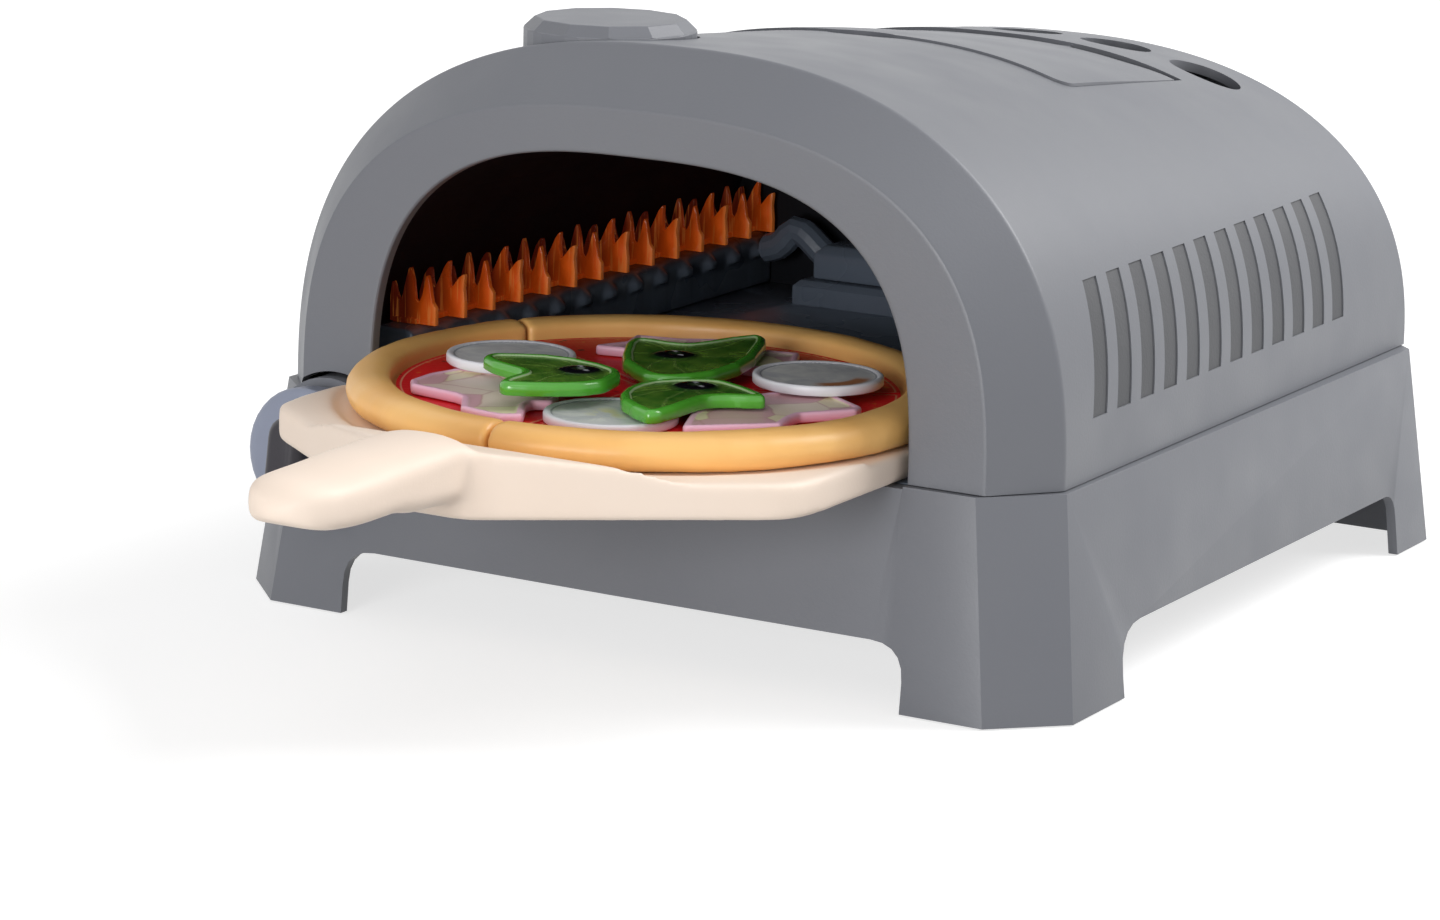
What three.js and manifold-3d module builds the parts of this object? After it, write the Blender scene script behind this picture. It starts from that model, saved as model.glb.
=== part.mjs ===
// Toy pizza oven: a vaulted hood on a flared base, with a comb of plastic flames, a control knob,
// a roof hatch over a small bin, a turning cap, and a peel that carries a play pizza with toppings.
// Millimetres. X to the right, Y to the back, Z up. The front face of the hood lies on Y = 0.
import * as THREE from "three";
import { mergeVertices } from "three/addons/utils/BufferGeometryUtils.js";
import Module from "manifold-3d";

const wasm = await Module();
wasm.setup();

// Running and seating gaps
const seat = 0.3;
const boreGap = 0.3;
const overrun = 20;

// Faces round a circle
const roundSides = 36;
const ventSides = 22;
const bossSides = 10;

// Base: its ledge sets the width, length and height that the rest follows
const ledgeHeight = 65.4;
const ledgeHalfWidth = 135;
const ledgeFront = -2;
const ledgeBack = 286.2;
const sideFlare = 8;
const endFlare = 6.1;
const chamferX = 19.4;
const chamferY = 19.3;
const rearChamfer = 7;
const baseWall = 3.2;
const plateThickness = 3;
const plateDrop = 4;
const plateTop = ledgeHeight - plateDrop;
const rimInset = 5.2;
const legWidth = 38;
const frontCutHalfWidth = ledgeHalfWidth - legWidth;
const frontCutTop = 20.2;
const frontCutRadius = 11;
const frontLegLength = 46;
const rearLegLength = 27.2;
const sideCutFront = frontLegLength;
const sideCutBack = ledgeBack - rearLegLength;
const sideCutTop = 20.7;
const sideCutFrontRadius = 14;
const sideCutBackRadius = 8;
const frontBow = 1;

// Hood: half-width and rise above the ledge at its two front creases, its back and its mouth
const hoodWall = 3;
const frontPlate = 4;
const outerCreaseAt = 19.3;
const outerCreaseSetIn = 1.8;
const outerCreaseRise = 116.1;
const outerCreasePower = 2.45;
const frontBevelWidth = 15.7;
const frontBevelDrop = 17.1;
const innerCreasePower = 2.7;
const hoodBackSetIn = 4;
const hoodBackDrop = 22;
const hoodBackPower = 2.39;
const hoodBackStep = 1.8;
const hoodBackAt = ledgeBack - hoodBackStep;
const crownBulge = 1.2;
const frontBandWidth = 25;
const frontBandDrop = 14;
const mouthPower = 2.9;
const outerCrease = {
  half: ledgeHalfWidth - outerCreaseSetIn, rise: outerCreaseRise, power: outerCreasePower,
};
const innerCrease = {
  half: outerCrease.half - frontBevelWidth,
  rise: outerCrease.rise - frontBevelDrop,
  power: innerCreasePower,
};
const hoodBack = {
  half: ledgeHalfWidth - hoodBackSetIn, rise: outerCrease.rise - hoodBackDrop, power: hoodBackPower,
};
const mouth = {
  half: innerCrease.half - frontBandWidth, rise: innerCrease.rise - frontBandDrop, power: mouthPower,
};
const stationLength = 56;
const archSteps = 34;

// Vents behind the hatch
const ventRadius = 12;
const ventSetIn = 27.4;
const ventY = hoodBackAt - ventSetIn;
const ventPitchShare = 11 / 45;
const ventPitch = ledgeHalfWidth * ventPitchShare;
const ventsEachSide = 2;

// Hatch in the roof
const hatchWidthShare = 14 / 27;
const hatchHalfWidth = ledgeHalfWidth * hatchWidthShare;
const hatchLength = 82.5;
const hatchSlotWidth = 5;
const hatchToVents = 28.5;
const hatchSlotBack = ventY - hatchToVents;
const hatchBack = hatchSlotBack - hatchSlotWidth;
const hatchFront = hatchBack - hatchLength;
const hatchCorner = 7;
const hatchProud = 0.8;
const hatchThickness = 3;
const hatchGap = 0.5;
const hatchLip = 3.2;
const hatchLipThickness = 2;
const scoopHalfWidth = 15;
const scoopDepth = 6.5;
const scoopRise = 4;
const hatchAxisY = hatchSlotBack - hatchSlotWidth / 2;
const hatchAxisDrop = 4.37;
const hatchPinRadius = 1;
const knuckleRadius = 2.1;
const knuckleInner = 18;
const knuckleMiddle = 25;
const knuckleOuter = 31;
const knuckleReach = 8;

// Bin under the hatch
const binMargin = 6;
const binBackMargin = 11.5;
const binHalfWidth = hatchHalfWidth - binMargin;
const binFront = hatchFront + binMargin;
const binBack = hatchBack - binBackMargin;
const binFloorDrop = 6.5;
const binFloorAt = ledgeHeight + hoodBack.rise - binFloorDrop;
const binWall = 1.6;
const binFlange = 1.5;

// Turning cap
const capPlaceShare = 38 / 135;
const capX = -ledgeHalfWidth * capPlaceShare;
const capY = 47;
const capProud = 2.5;
const capTop = ledgeHeight + outerCrease.rise + capProud;
const capRadius = 26.4;
const capTopRadius = 22.9;
const capChamfer = 3.3;
const capSides = 12;
const capWall = 2;
const capDrop = 15;
const wellGap = 0.9;
const wellWall = 2;
const wellFloor = 2.4;
const spindleRadius = 3;
const spindleFlange = 6;
const spindleFlangeThickness = 1.5;
const clipRadius = 6.5;
const clipThickness = 1.5;

// Inner vault
const vaultSetIn = 15.6;
const vaultDrop = 26.1;
const vaultTaperWidth = 1.6;
const vaultTaperDrop = 8;
const vaultPower = 2.6;
const vaultFront = {
  half: outerCrease.half - vaultSetIn, rise: outerCrease.rise - vaultDrop, power: vaultPower,
};
const vaultBack = {
  half: vaultFront.half - vaultTaperWidth, rise: vaultFront.rise - vaultTaperDrop, power: vaultPower,
};
const vaultWall = 2;
const vaultStart = 5;
const vaultBackSpace = 26.4;
const vaultEnd = hoodBackAt - vaultBackSpace;
const vaultSteps = 24;

// Oven floor with its raised rear step, and the housing on it
const floorThickness = 3;
const floorUnderside = plateTop + seat;
const floorTop = floorUnderside + floorThickness;
const floorMargin = 2;
const stepLength = 33;
const stepHeight = 8.3;
const stepFront = vaultEnd - stepLength;
const stepTop = floorTop + stepHeight;
const housingSetBack = 5;
const housingHeight = 12;
const housingToWall = 20;
const housingFront = stepFront + housingSetBack;
const housingTop = stepTop + housingHeight;
const housingRight = vaultBack.half - housingToWall;
const housingChamfer = 3;
const bevelTop = 2;

// Burner along the left wall
const burnerToWall = 3;
const burnerWidth = 17.5;
const burnerHeight = 18.3;
const burnerLeft = -(vaultBack.half - burnerToWall);
const burnerRight = burnerLeft + burnerWidth;
const burnerFront = 28;
const burnerEndGap = 2.6;
const burnerBack = vaultEnd - burnerEndGap;
const burnerTop = floorTop + burnerHeight;
const burnerRound = 4;
const burnerToStep = 25.5;
const stepLeft = burnerRight + burnerToStep;
const housingLeft = stepLeft + housingSetBack;
const lobeRadius = 5.6;
const lobeProud = 2.6;
const lobeTopDrop = 2;
const flameFirst = 38;
const flameEndMargin = 2.9;
const flameCount = 14;
const flamePitch = (burnerBack - flameEndMargin - flameFirst) / (flameCount - 1);
const flameThickness = 1.9;
const flameWidth = 17;
const flameOverhang = 2;
const flameRight = burnerRight + flameOverhang;
const flameHeight = 18.5;
const railHeight = 1.6;
const railWidth = 9;

// Flame outlines as shares of the flame's width and height
const narrowFlameShares = [
  [0, 0], [0, 0.42], [0.05, 0.74], [0.12, 0.5], [0.2, 0.34], [0.27, 0.46], [0.36, 0.8], [0.42, 1],
  [0.5, 0.72], [0.54, 0.42], [0.62, 0.34], [0.7, 0.5], [0.8, 0.9], [0.86, 0.7], [0.92, 0.4], [1, 0.3],
  [1, 0],
];
const broadFlameShares = [
  [0, 0], [0, 0.36], [0.1, 0.66], [0.24, 0.86], [0.27, 0.6], [0.32, 0.42], [0.42, 0.6], [0.54, 0.84],
  [0.66, 1], [0.64, 0.7], [0.67, 0.46], [0.76, 0.56], [0.88, 0.7], [1, 0.78], [0.97, 0.5], [1, 0.26],
  [1, 0],
];

// Feed pipe behind the burner
const pipeRadius = 5;
const pipeRise = 8;
const pipeRun = 26;
const pipeSides = 12;
const pipeSteps = 10;

// Control knob
const knobSetIn = 29.5;
const knobDrop = 15.4;
const knobX = -(ledgeHalfWidth - knobSetIn);
const knobZ = ledgeHeight - knobDrop;
const pocketRadius = 23.5;
const pocketFloorAt = -3;
const pocketDepthInHood = 14;
const bossRadius = 22;
const bossBack = 12;
const knobRadius = 21;
const knobRearRadius = 19;
const knobFaceRadius = 16.5;
const knobDepth = 14.5;
const knobRimAt = 11.8;
const gripLength = 27;
const gripWidth = 13;
const gripHeight = 12;
const gripLeanDegrees = 6;
const shaftRadius = 3.2;
const shaftBack = 19;
const knobClipThickness = 1.6;
const knobClipRadius = 7;

// Screws
const screwHeadRadius = 3.4;
const screwHeadHeight = 2.2;
const screwShankRadius = 1.5;
const screwShankLength = 12;
const screwSides = 8;
const screwBossRadius = 4.2;
const baseScrewSetIn = 8.6;
const baseScrewX = ledgeHalfWidth - baseScrewSetIn;
const baseScrewFront = 40;
const baseScrewBackSetIn = 36.2;
const baseScrewBack = ledgeBack - baseScrewBackSetIn;
const bossHeight = 14;
const panelScrewInset = 7;
const panelScrewLowShare = 0.04;
const panelScrewHighShare = 0.32;
const panelBossLength = 14;

// Back cover
const panelThickness = 3;
const panelInset = 3.4;
const panelSlotWidthShare = 34 / 135;
const panelSlotHalfWidth = ledgeHalfWidth * panelSlotWidthShare;
const panelSlotHeight = 3.2;
const panelSlotPitch = 8;
const panelSlotRise = 30.6;
const panelSlotFirst = ledgeHeight + panelSlotRise;
const panelSlots = 5;

// Play pizza: it fills the peel, and the peel fills the mouth
const peelClearance = 3;
const peelHalfWidth = mouth.half - peelClearance;
const pizzaMargin = 1;
const pizzaRadius = peelHalfWidth - pizzaMargin;
const pizzaX = 0;
const pizzaY = 10.5;

// Peel
const peelBottom = floorTop + seat;
const peelThickness = 8.8;
const peelTop = peelBottom + peelThickness;
const peelBackMargin = 7;
const peelBack = pizzaY + pizzaRadius + peelBackMargin;
const peelBackCorner = 26;
const peelTaper = 1.5;
const peelFrontCornerX = peelHalfWidth - peelTaper;
const lipMargin = 6;
const lipWallY = pizzaY - pizzaRadius - lipMargin;
const shoulderLength = 27;
const peelFrontCornerY = lipWallY + shoulderLength;
const peelFrontRound = 17;
const neckHalfWidth = 15;
const neckY = lipWallY - shoulderLength;
const neckRound = 3;
const peelSkin = 3;
const peelSkirt = 3.2;
const lipRise = 6.2;
const lipNeckRise = 11.2;
const lipTop = peelTop + lipRise;
const lipNeckTop = peelTop + lipNeckRise;
const handleLength = 82.5;
const handleTip = neckY - handleLength;
const handleRise = 25;
const handleSections = 12;

// Handle sections: share of its length, then shares of half-width, underside, edge and crown height
const handleShares = [
  [0, 1, 0, 0.78, 0.94], [0.02, 1, 0.19, 0.78, 0.95], [0.13, 1, 0.23, 0.77, 0.96],
  [0.26, 1, 0.27, 0.77, 0.98], [0.38, 1, 0.37, 0.78, 1], [0.62, 1, 0.4, 0.79, 1],
  [0.83, 1, 0.44, 0.8, 0.99], [0.92, 0.94, 0.49, 0.8, 0.95], [0.97, 0.74, 0.55, 0.79, 0.89],
  [1, 0.42, 0.62, 0.76, 0.81],
];

// Crust and sauce
const pizzaBottom = peelTop + seat;
const crustHeight = 13.9;
const crustTop = pizzaBottom + crustHeight;
const crustInnerShare = 143 / 177;
const crustInner = pizzaRadius * crustInnerShare;
const sauceRise = 6.4;
const sauceTop = pizzaBottom + sauceRise;
const sauceThickness = 2;
const sliceCount = 3;
const firstSeamDegrees = 30;
const seamGap = 0.7;
const crustSteps = 54;

// Crust section between its inner and outer edge: shares of its width and of its height
const crustShares = [
  [0.78, 0], [0.95, 0.16], [1, 0.42], [0.97, 0.66], [0.86, 0.87], [0.66, 0.99], [0.44, 1],
  [0.2, 0.86], [0.04, 0.6],
];

// Toppings, by outline in shares of the pizza's radius
const hamThickness = 3;
const discRadiusShare = 13 / 59;
const discRadius = pizzaRadius * discRadiusShare;
const discThickness = 3;
const discRim = 1.6;
const discRimDepth = 0.5;
const discSteps = 28;
const leafThickness = 4;
const hamLeftShares = [
  [-0.6, -0.5], [-0.416, -0.64], [-0.257, -0.74], [-0.111, -0.77], [-0.014, -0.75],
  [-0.108, -0.497], [-0.041, -0.446], [-0.417, -0.272], [-0.631, -0.237],
];
const hamBackShares = [
  [-0.435, 0.333], [-0.373, 0.469], [-0.407, 0.593], [-0.249, 0.627], [-0.113, 0.718],
  [0.023, 0.627], [0.169, 0.638], [0.113, 0.503], [0.147, 0.379], [-0.056, 0.29], [-0.226, 0.379],
];
const hamRightShares = [
  [0.506, -0.486], [0.7, -0.35], [0.671, -0.166], [0.77, 0.026], [0.678, 0.107],
  [0.538, 0.22], [0.444, 0.035], [0.39, -0.071], [0.59, -0.191], [0.667, -0.342],
];
const leafLeftShares = [
  [-0.497, -0.254], [-0.339, -0.192], [-0.136, -0.26], [-0.034, -0.209], [0.081, -0.277],
  [0.045, -0.367], [0.131, -0.449], [0.023, -0.492], [-0.034, -0.605], [-0.136, -0.69],
  [-0.203, -0.593], [-0.384, -0.548], [-0.339, -0.435], [-0.475, -0.367],
];
const leafBackShares = [
  [-0.111, 0.017], [-0.203, 0.153], [-0.158, 0.286], [-0.045, 0.266], [0.031, 0.313],
  [0.045, 0.446], [0.133, 0.546], [0.192, 0.401], [0.262, 0.233], [0.265, 0.085], [0.3, -0.04],
  [0.169, -0.095], [0.09, -0.245], [0.011, -0.119],
];
const leafFrontShares = [
  [0.146, -0.431], [0.102, -0.345], [0.101, -0.272], [0.203, -0.186], [0.312, -0.073],
  [0.407, -0.164], [0.565, -0.218], [0.634, -0.34], [0.52, -0.39], [0.48, -0.458],
  [0.52, -0.525], [0.488, -0.584], [0.408, -0.68], [0.33, -0.65], [0.263, -0.6],
  [0.226, -0.525],
];
const toppingRound = 3;
const discPlaces = [
  { name: "disc_left", xShare: -0.486, yShare: -0.096, level: 1 },
  { name: "disc_right", xShare: 0.52, yShare: 0.232, level: 1 },
  { name: "disc_front", xShare: 0.186, yShare: -0.55, level: 0 },
];

// Materials
const plastic = (color, roughness = 0.5) =>
  new THREE.MeshStandardMaterial({ color, roughness, metalness: 0 });
const steel = new THREE.MeshStandardMaterial({ color: 0x8c8f94, roughness: 0.35, metalness: 1 });
const bodyGrey = plastic(0x7b7d82);
const darkGrey = plastic(0x2d3a46);
const blackPlastic = plastic(0x1b1b20, 0.6);
const flameOrange = plastic(0xe15514, 0.3);
const knobSilver = plastic(0x969baf, 0.35);
const cream = plastic(0xfdebdc, 0.45);
const crustBrown = plastic(0xfac473, 0.5);
const sauceRed = plastic(0xc81e23, 0.4);
const hamPink = plastic(0xf0c3d7, 0.4);
const discWhite = plastic(0xebebf0, 0.4);
const leafGreen = plastic(0x55a537, 0.35);

// Solids from closed geometry

const axes = {
  x: new THREE.Matrix4().makeBasis(
    new THREE.Vector3(0, 1, 0), new THREE.Vector3(0, 0, 1), new THREE.Vector3(1, 0, 0)),
  y: new THREE.Matrix4().makeBasis(
    new THREE.Vector3(1, 0, 0), new THREE.Vector3(0, 0, 1), new THREE.Vector3(0, 1, 0)),
  z: new THREE.Matrix4(),
};

function manifoldOf(positions, index) {
  return new wasm.Manifold(
    new wasm.Mesh({ numProp: 3, vertProperties: positions, triVerts: index }));
}

// A closed geometry as a solid whose faces point out.
function solid(geometry) {
  const plain = geometry.clone();
  plain.deleteAttribute("normal");
  plain.deleteAttribute("uv");
  const merged = mergeVertices(plain);
  const source = merged.index.array;
  const faces = [];
  for (let i = 0; i < source.length; i += 3) {
    const [a, b, c] = [source[i], source[i + 1], source[i + 2]];
    if (a !== b && b !== c && c !== a) faces.push(a, b, c);
  }
  const positions = new Float32Array(merged.attributes.position.array);
  const made = manifoldOf(positions, new Uint32Array(faces));
  if (made.volume() > 0) return made;
  for (let i = 0; i < faces.length; i += 3) {
    [faces[i + 1], faces[i + 2]] = [faces[i + 2], faces[i + 1]];
  }
  return manifoldOf(positions, new Uint32Array(faces));
}

const join = (...parts) => parts.reduce((whole, part) => whole.add(part));
const cut = (body, ...tools) => tools.reduce((left, tool) => left.subtract(tool), body);
const meet = (body, ...others) => others.reduce((left, other) => left.intersect(other), body);

function geometryOf(manifold) {
  const mesh = manifold.getMesh();
  const geometry = new THREE.BufferGeometry();
  const stride = mesh.numProp;
  const positions = new Float32Array(mesh.numVert * 3);
  for (let i = 0; i < mesh.numVert; i += 1) {
    positions.set(mesh.vertProperties.subarray(i * stride, i * stride + 3), i * 3);
  }
  geometry.setAttribute("position", new THREE.BufferAttribute(positions, 3));
  geometry.setIndex(new THREE.BufferAttribute(new Uint32Array(mesh.triVerts), 1));
  geometry.computeVertexNormals();
  return geometry;
}

function cornersOf(outline) {
  return outline.map((p) => (p.isVector2 ? p : new THREE.Vector2(p[0], p[1])));
}

// An outline pushed along one axis from one place to another.
function prism(outline, axis, from, to) {
  const shape = new THREE.Shape(cornersOf(outline));
  const geometry = new THREE.ExtrudeGeometry(shape, { depth: to - from, bevelEnabled: false });
  geometry.translate(0, 0, from);
  geometry.applyMatrix4(axes[axis]);
  return solid(geometry);
}

function block(x0, x1, y0, y1, z0, z1) {
  const geometry = new THREE.BoxGeometry(x1 - x0, y1 - y0, z1 - z0);
  geometry.translate((x0 + x1) / 2, (y0 + y1) / 2, (z0 + z1) / 2);
  return solid(geometry);
}

// A round bar along one axis; u and v are its place across that axis.
function rod(radius, axis, u, v, from, to, sides = 24, endRadius = radius) {
  const geometry = new THREE.CylinderGeometry(endRadius, radius, to - from, sides);
  geometry.rotateX(Math.PI / 2);
  geometry.translate(u, v, (from + to) / 2);
  geometry.applyMatrix4(axes[axis]);
  return solid(geometry);
}

// A turned profile of [radius, height] points about one axis.
function turned(profile, axis, u, v, steps) {
  const geometry = new THREE.LatheGeometry(cornersOf(profile), steps);
  geometry.rotateX(Math.PI / 2);
  geometry.translate(u, v, 0);
  geometry.applyMatrix4(axes[axis]);
  return solid(geometry);
}

function flatCorners(ring) {
  const normal = new THREE.Vector3();
  ring.forEach((p, i) => {
    const q = ring[(i + 1) % ring.length];
    normal.x += (p.y - q.y) * (p.z + q.z);
    normal.y += (p.z - q.z) * (p.x + q.x);
    normal.z += (p.x - q.x) * (p.y + q.y);
  });
  const size = [Math.abs(normal.x), Math.abs(normal.y), Math.abs(normal.z)];
  const largest = size.indexOf(Math.max(...size));
  if (largest === 0) return ring.map((p) => new THREE.Vector2(p.y, p.z));
  if (largest === 1) return ring.map((p) => new THREE.Vector2(p.z, p.x));
  return ring.map((p) => new THREE.Vector2(p.x, p.y));
}

function capFaces(ring, offset, forward) {
  const flat = flatCorners(ring);
  const whole = Math.sign(THREE.ShapeUtils.area(flat));
  const faces = [];
  THREE.ShapeUtils.triangulateShape(flat, []).forEach(([a, b, c]) => {
    const turn = Math.sign(THREE.ShapeUtils.area([flat[a], flat[b], flat[c]]));
    const same = turn === whole;
    const order = same === forward ? [a, b, c] : [a, c, b];
    faces.push(...order.map((i) => i + offset));
  });
  return faces;
}

// A skin over rings of equal point counts, closed by a flat face at each end.
function loft(rings) {
  const count = rings[0].length;
  const positions = rings.flat().flatMap((p) => [p.x, p.y, p.z]);
  const faces = [];
  for (let r = 0; r < rings.length - 1; r += 1) {
    for (let i = 0; i < count; i += 1) {
      const j = (i + 1) % count;
      const [a, b] = [r * count + i, r * count + j];
      const [c, d] = [a + count, b + count];
      faces.push(a, b, d, a, d, c);
    }
  }
  faces.push(...capFaces(rings[0], 0, false));
  faces.push(...capFaces(rings.at(-1), (rings.length - 1) * count, true));
  const geometry = new THREE.BufferGeometry();
  geometry.setAttribute("position", new THREE.Float32BufferAttribute(positions, 3));
  geometry.setIndex(faces);
  return solid(geometry);
}

// An outline whose corners [x, y, radius] are rounded.
function rounded(corners, steps = 5) {
  const points = [];
  corners.forEach(([x, y, radius = 0], i) => {
    const here = new THREE.Vector2(x, y);
    if (radius === 0) {
      points.push(here);
      return;
    }
    const before = corners.at(i - 1);
    const after = corners[(i + 1) % corners.length];
    const back = new THREE.Vector2(before[0], before[1]).sub(here);
    const ahead = new THREE.Vector2(after[0], after[1]).sub(here);
    const half = Math.abs(back.angleTo(ahead)) / 2;
    const wish = radius / Math.tan(half);
    const reach = Math.min(wish, back.length() / 2, ahead.length() / 2);
    const start = here.clone().add(back.normalize().multiplyScalar(reach));
    const end = here.clone().add(ahead.normalize().multiplyScalar(reach));
    const bend = new THREE.QuadraticBezierCurve(start, here, end);
    points.push(...bend.getPoints(steps));
  });
  return points;
}

const smooth = (shares, radius, steps = 3) =>
  rounded(shares.map(([x, y]) => [x * pizzaRadius, y * pizzaRadius, radius]), steps);

function add(group, name, body, material) {
  const mesh = new THREE.Mesh(geometryOf(body), material);
  mesh.name = name;
  group.add(mesh);
  return mesh;
}

// Moves a body made in the part's frame into the frame of a group placed at these coordinates.
const into = (group, body) => {
  const { x, y, z } = group.position;
  return body.translate([-x, -y, -z]);
};

// Vault sections

function archHeight(arch, x) {
  const share = Math.min(Math.abs(x) / arch.half, 1);
  return ledgeHeight + arch.rise * (1 - share ** arch.power) ** (1 / arch.power);
}

// Points of a vault section at y, from its right foot over the crown to its left foot.
function archRing(arch, y, foot, steps = archSteps) {
  const ring = [];
  for (let i = 0; i <= steps; i += 1) {
    const angle = (Math.PI * i) / steps;
    const across = Math.cos(angle);
    const up = Math.abs(Math.sin(angle));
    const rise = i % steps === 0 ? 0 : arch.rise * up ** (2 / arch.power);
    ring.push(new THREE.Vector3(
      arch.half * Math.sign(across) * Math.abs(across) ** (2 / arch.power),
      y,
      Math.max(ledgeHeight + rise, foot)));
  }
  if (foot >= ledgeHeight) return ring;
  return [
    new THREE.Vector3(arch.half, y, foot), ...ring, new THREE.Vector3(-arch.half, y, foot),
  ];
}

const mix = (a, b, t) => a + (b - a) * t;

function hoodArch(y, inset = 0) {
  const t = (y - outerCreaseAt) / (hoodBackAt - outerCreaseAt);
  if (t < 0) {
    const s = y / outerCreaseAt;
    return {
      half: mix(innerCrease.half, outerCrease.half, s) - inset,
      rise: mix(innerCrease.rise, outerCrease.rise, s) - inset,
      power: mix(innerCrease.power, outerCrease.power, s),
    };
  }
  return {
    half: mix(outerCrease.half, hoodBack.half, t) - inset,
    rise: mix(outerCrease.rise, hoodBack.rise, t) + crownBulge * 4 * t * (1 - t) - inset,
    power: mix(outerCrease.power, hoodBack.power, t),
  };
}

// The space inside the hood's surface moved inwards by inset, between two places along Y.
function hoodBody(inset, from, to, foot) {
  const places = [from];
  if (from < outerCreaseAt && outerCreaseAt < to) places.push(outerCreaseAt);
  const start = Math.max(from, outerCreaseAt);
  const stations = Math.max(1, Math.round((to - start) / stationLength));
  for (let i = 1; i < stations; i += 1) places.push(mix(start, to, i / stations));
  places.push(to);
  return loft(places.map((y) => archRing(hoodArch(y, inset), y, foot)));
}

const hoodShell = (outer, inner, from, to, foot) =>
  cut(hoodBody(outer, from, to, foot), hoodBody(inner, from - overrun, to + overrun, foot - overrun));

const root = new THREE.Group();
const fixed = new THREE.Group();
root.add(fixed);

// Base

function baseRing(inset, z) {
  const s = 1 - z / ledgeHeight;
  const half = ledgeHalfWidth + sideFlare * s - inset;
  const front = ledgeFront - endFlare * s + inset;
  const back = ledgeBack + endFlare * s - inset;
  const slim = inset / 2;
  return [
    [0, front - frontBow * (inset === 0 ? 1 : 0)],
    [half - chamferX + slim, front],
    [half, front + chamferY - slim],
    [half, back - rearChamfer],
    [half - rearChamfer, back],
    [-half + rearChamfer, back],
    [-half, back - rearChamfer],
    [-half, front + chamferY - slim],
    [-half + chamferX - slim, front],
  ].map(([x, y]) => new THREE.Vector3(x, y, z));
}

const baseBody = (inset, z0, z1) => loft([baseRing(inset, z0), baseRing(inset, z1)]);

const plateBottom = plateTop - plateThickness;
const frontCut = rounded([
  [-frontCutHalfWidth, -overrun, 0], [frontCutHalfWidth, -overrun, 0],
  [frontCutHalfWidth, frontCutTop, frontCutRadius],
  [-frontCutHalfWidth, frontCutTop, frontCutRadius],
]);
const sideCut = rounded([
  [sideCutFront, -overrun, 0], [sideCutBack, -overrun, 0],
  [sideCutBack, sideCutTop, sideCutBackRadius], [sideCutFront, sideCutTop, sideCutFrontRadius],
]);
const screwHole = screwShankRadius + boreGap;
const baseScrews = [
  { name: "base_screw_fl", x: -baseScrewX, y: baseScrewFront },
  { name: "base_screw_fr", x: baseScrewX, y: baseScrewFront },
  { name: "base_screw_bl", x: -baseScrewX, y: baseScrewBack },
  { name: "base_screw_br", x: baseScrewX, y: baseScrewBack },
];
const burnerMiddle = (burnerLeft + burnerRight) / 2;
const burnerScrews = [
  { name: "burner_screw_front", y: burnerFront + flamePitch },
  { name: "burner_screw_back", y: burnerBack - flamePitch },
];
const mouthFloorHalf = mouth.half;
const shaftHole = shaftRadius + boreGap;
let base = cut(
  baseBody(0, 0, ledgeHeight),
  baseBody(baseWall, -overrun, plateBottom),
  meet(
    baseBody(rimInset, plateTop, ledgeHeight + overrun),
    block(-ledgeHalfWidth, ledgeHalfWidth, 0, ledgeBack, plateTop, ledgeHeight + overrun)),
);
base = join(base, rod(bossRadius, "y", knobX, knobZ, pocketFloorAt, bossBack, roundSides));
base = cut(
  base,
  prism(frontCut, "y", -overrun, ledgeBack + overrun),
  prism(sideCut, "x", -ledgeHalfWidth - overrun, ledgeHalfWidth + overrun),
  rod(pocketRadius, "y", knobX, knobZ, -overrun, pocketFloorAt, roundSides),
  rod(shaftHole, "y", knobX, knobZ, -overrun, bossBack + overrun, 20),
  block(-mouthFloorHalf, mouthFloorHalf, -overrun, overrun, floorTop, ledgeHeight + overrun),
  ...baseScrews.map((s) => rod(screwHole, "z", s.x, s.y, plateBottom - overrun, plateTop + overrun,
    screwSides)),
  ...baseScrews.map((s) => rod(screwBossRadius + seat, "z", s.x, s.y, plateTop,
    ledgeHeight + overrun, bossSides)),
  ...burnerScrews.map((s) => rod(screwHole, "z", burnerMiddle, s.y, plateBottom - overrun,
    plateTop + overrun, screwSides)),
);
add(fixed, "base", base, bodyGrey);

// Hood

const hoodFoot = ledgeHeight + seat;
const mouthCut = loft([
  archRing(mouth, -overrun, ledgeHeight - overrun),
  archRing(mouth, frontPlate + overrun, ledgeHeight - overrun),
]);

// The hatch outline grown on all sides, with the finger scoop in front if it has one.
function hatchOutline(grow, back, scoop) {
  const half = hatchHalfWidth + grow;
  const front = hatchFront - grow;
  const round = hatchCorner + grow;
  const corners = [
    [half, back, 0], [-half, back, 0], [-half, front, round],
  ];
  if (scoop > 0) {
    const wide = scoopHalfWidth + grow;
    corners.push([-wide, front, wide / 2], [-wide / 2, front - scoop, wide / 2]);
    corners.push([wide / 2, front - scoop, wide / 2], [wide, front, wide / 2]);
  }
  corners.push([half, front, round]);
  return rounded(corners);
}

const hatchAxisZ = ledgeHeight + hoodArch(hatchAxisY).rise - hatchAxisDrop;
const roofLow = ledgeHeight + hoodBack.rise / 2;
const roofHigh = ledgeHeight + outerCrease.rise + overrun;
const lidUnderside = hatchThickness - hatchProud;
const lipTopInset = lidUnderside + seat;
const lipBottomInset = lipTopInset + hatchLipThickness;
const hatchRegion = (grow, back, scoop) =>
  prism(hatchOutline(grow, back, scoop), "z", roofLow, roofHigh);
const lipZoneFront = hatchFront - overrun;
const lipZoneBack = hatchSlotBack + overrun;
const lip = cut(
  meet(
    hoodShell(lipTopInset, lipBottomInset, lipZoneFront, lipZoneBack, ledgeHeight),
    hatchRegion(hatchLip, hatchSlotBack, scoopDepth)),
  hatchRegion(-hatchLip, hatchSlotBack + overrun, 0),
);
const knuckle = (from, to) => rod(knuckleRadius, "x", hatchAxisY, hatchAxisZ, from, to, 12);
const knuckleBottom = hatchAxisZ - knuckleRadius;
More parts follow.
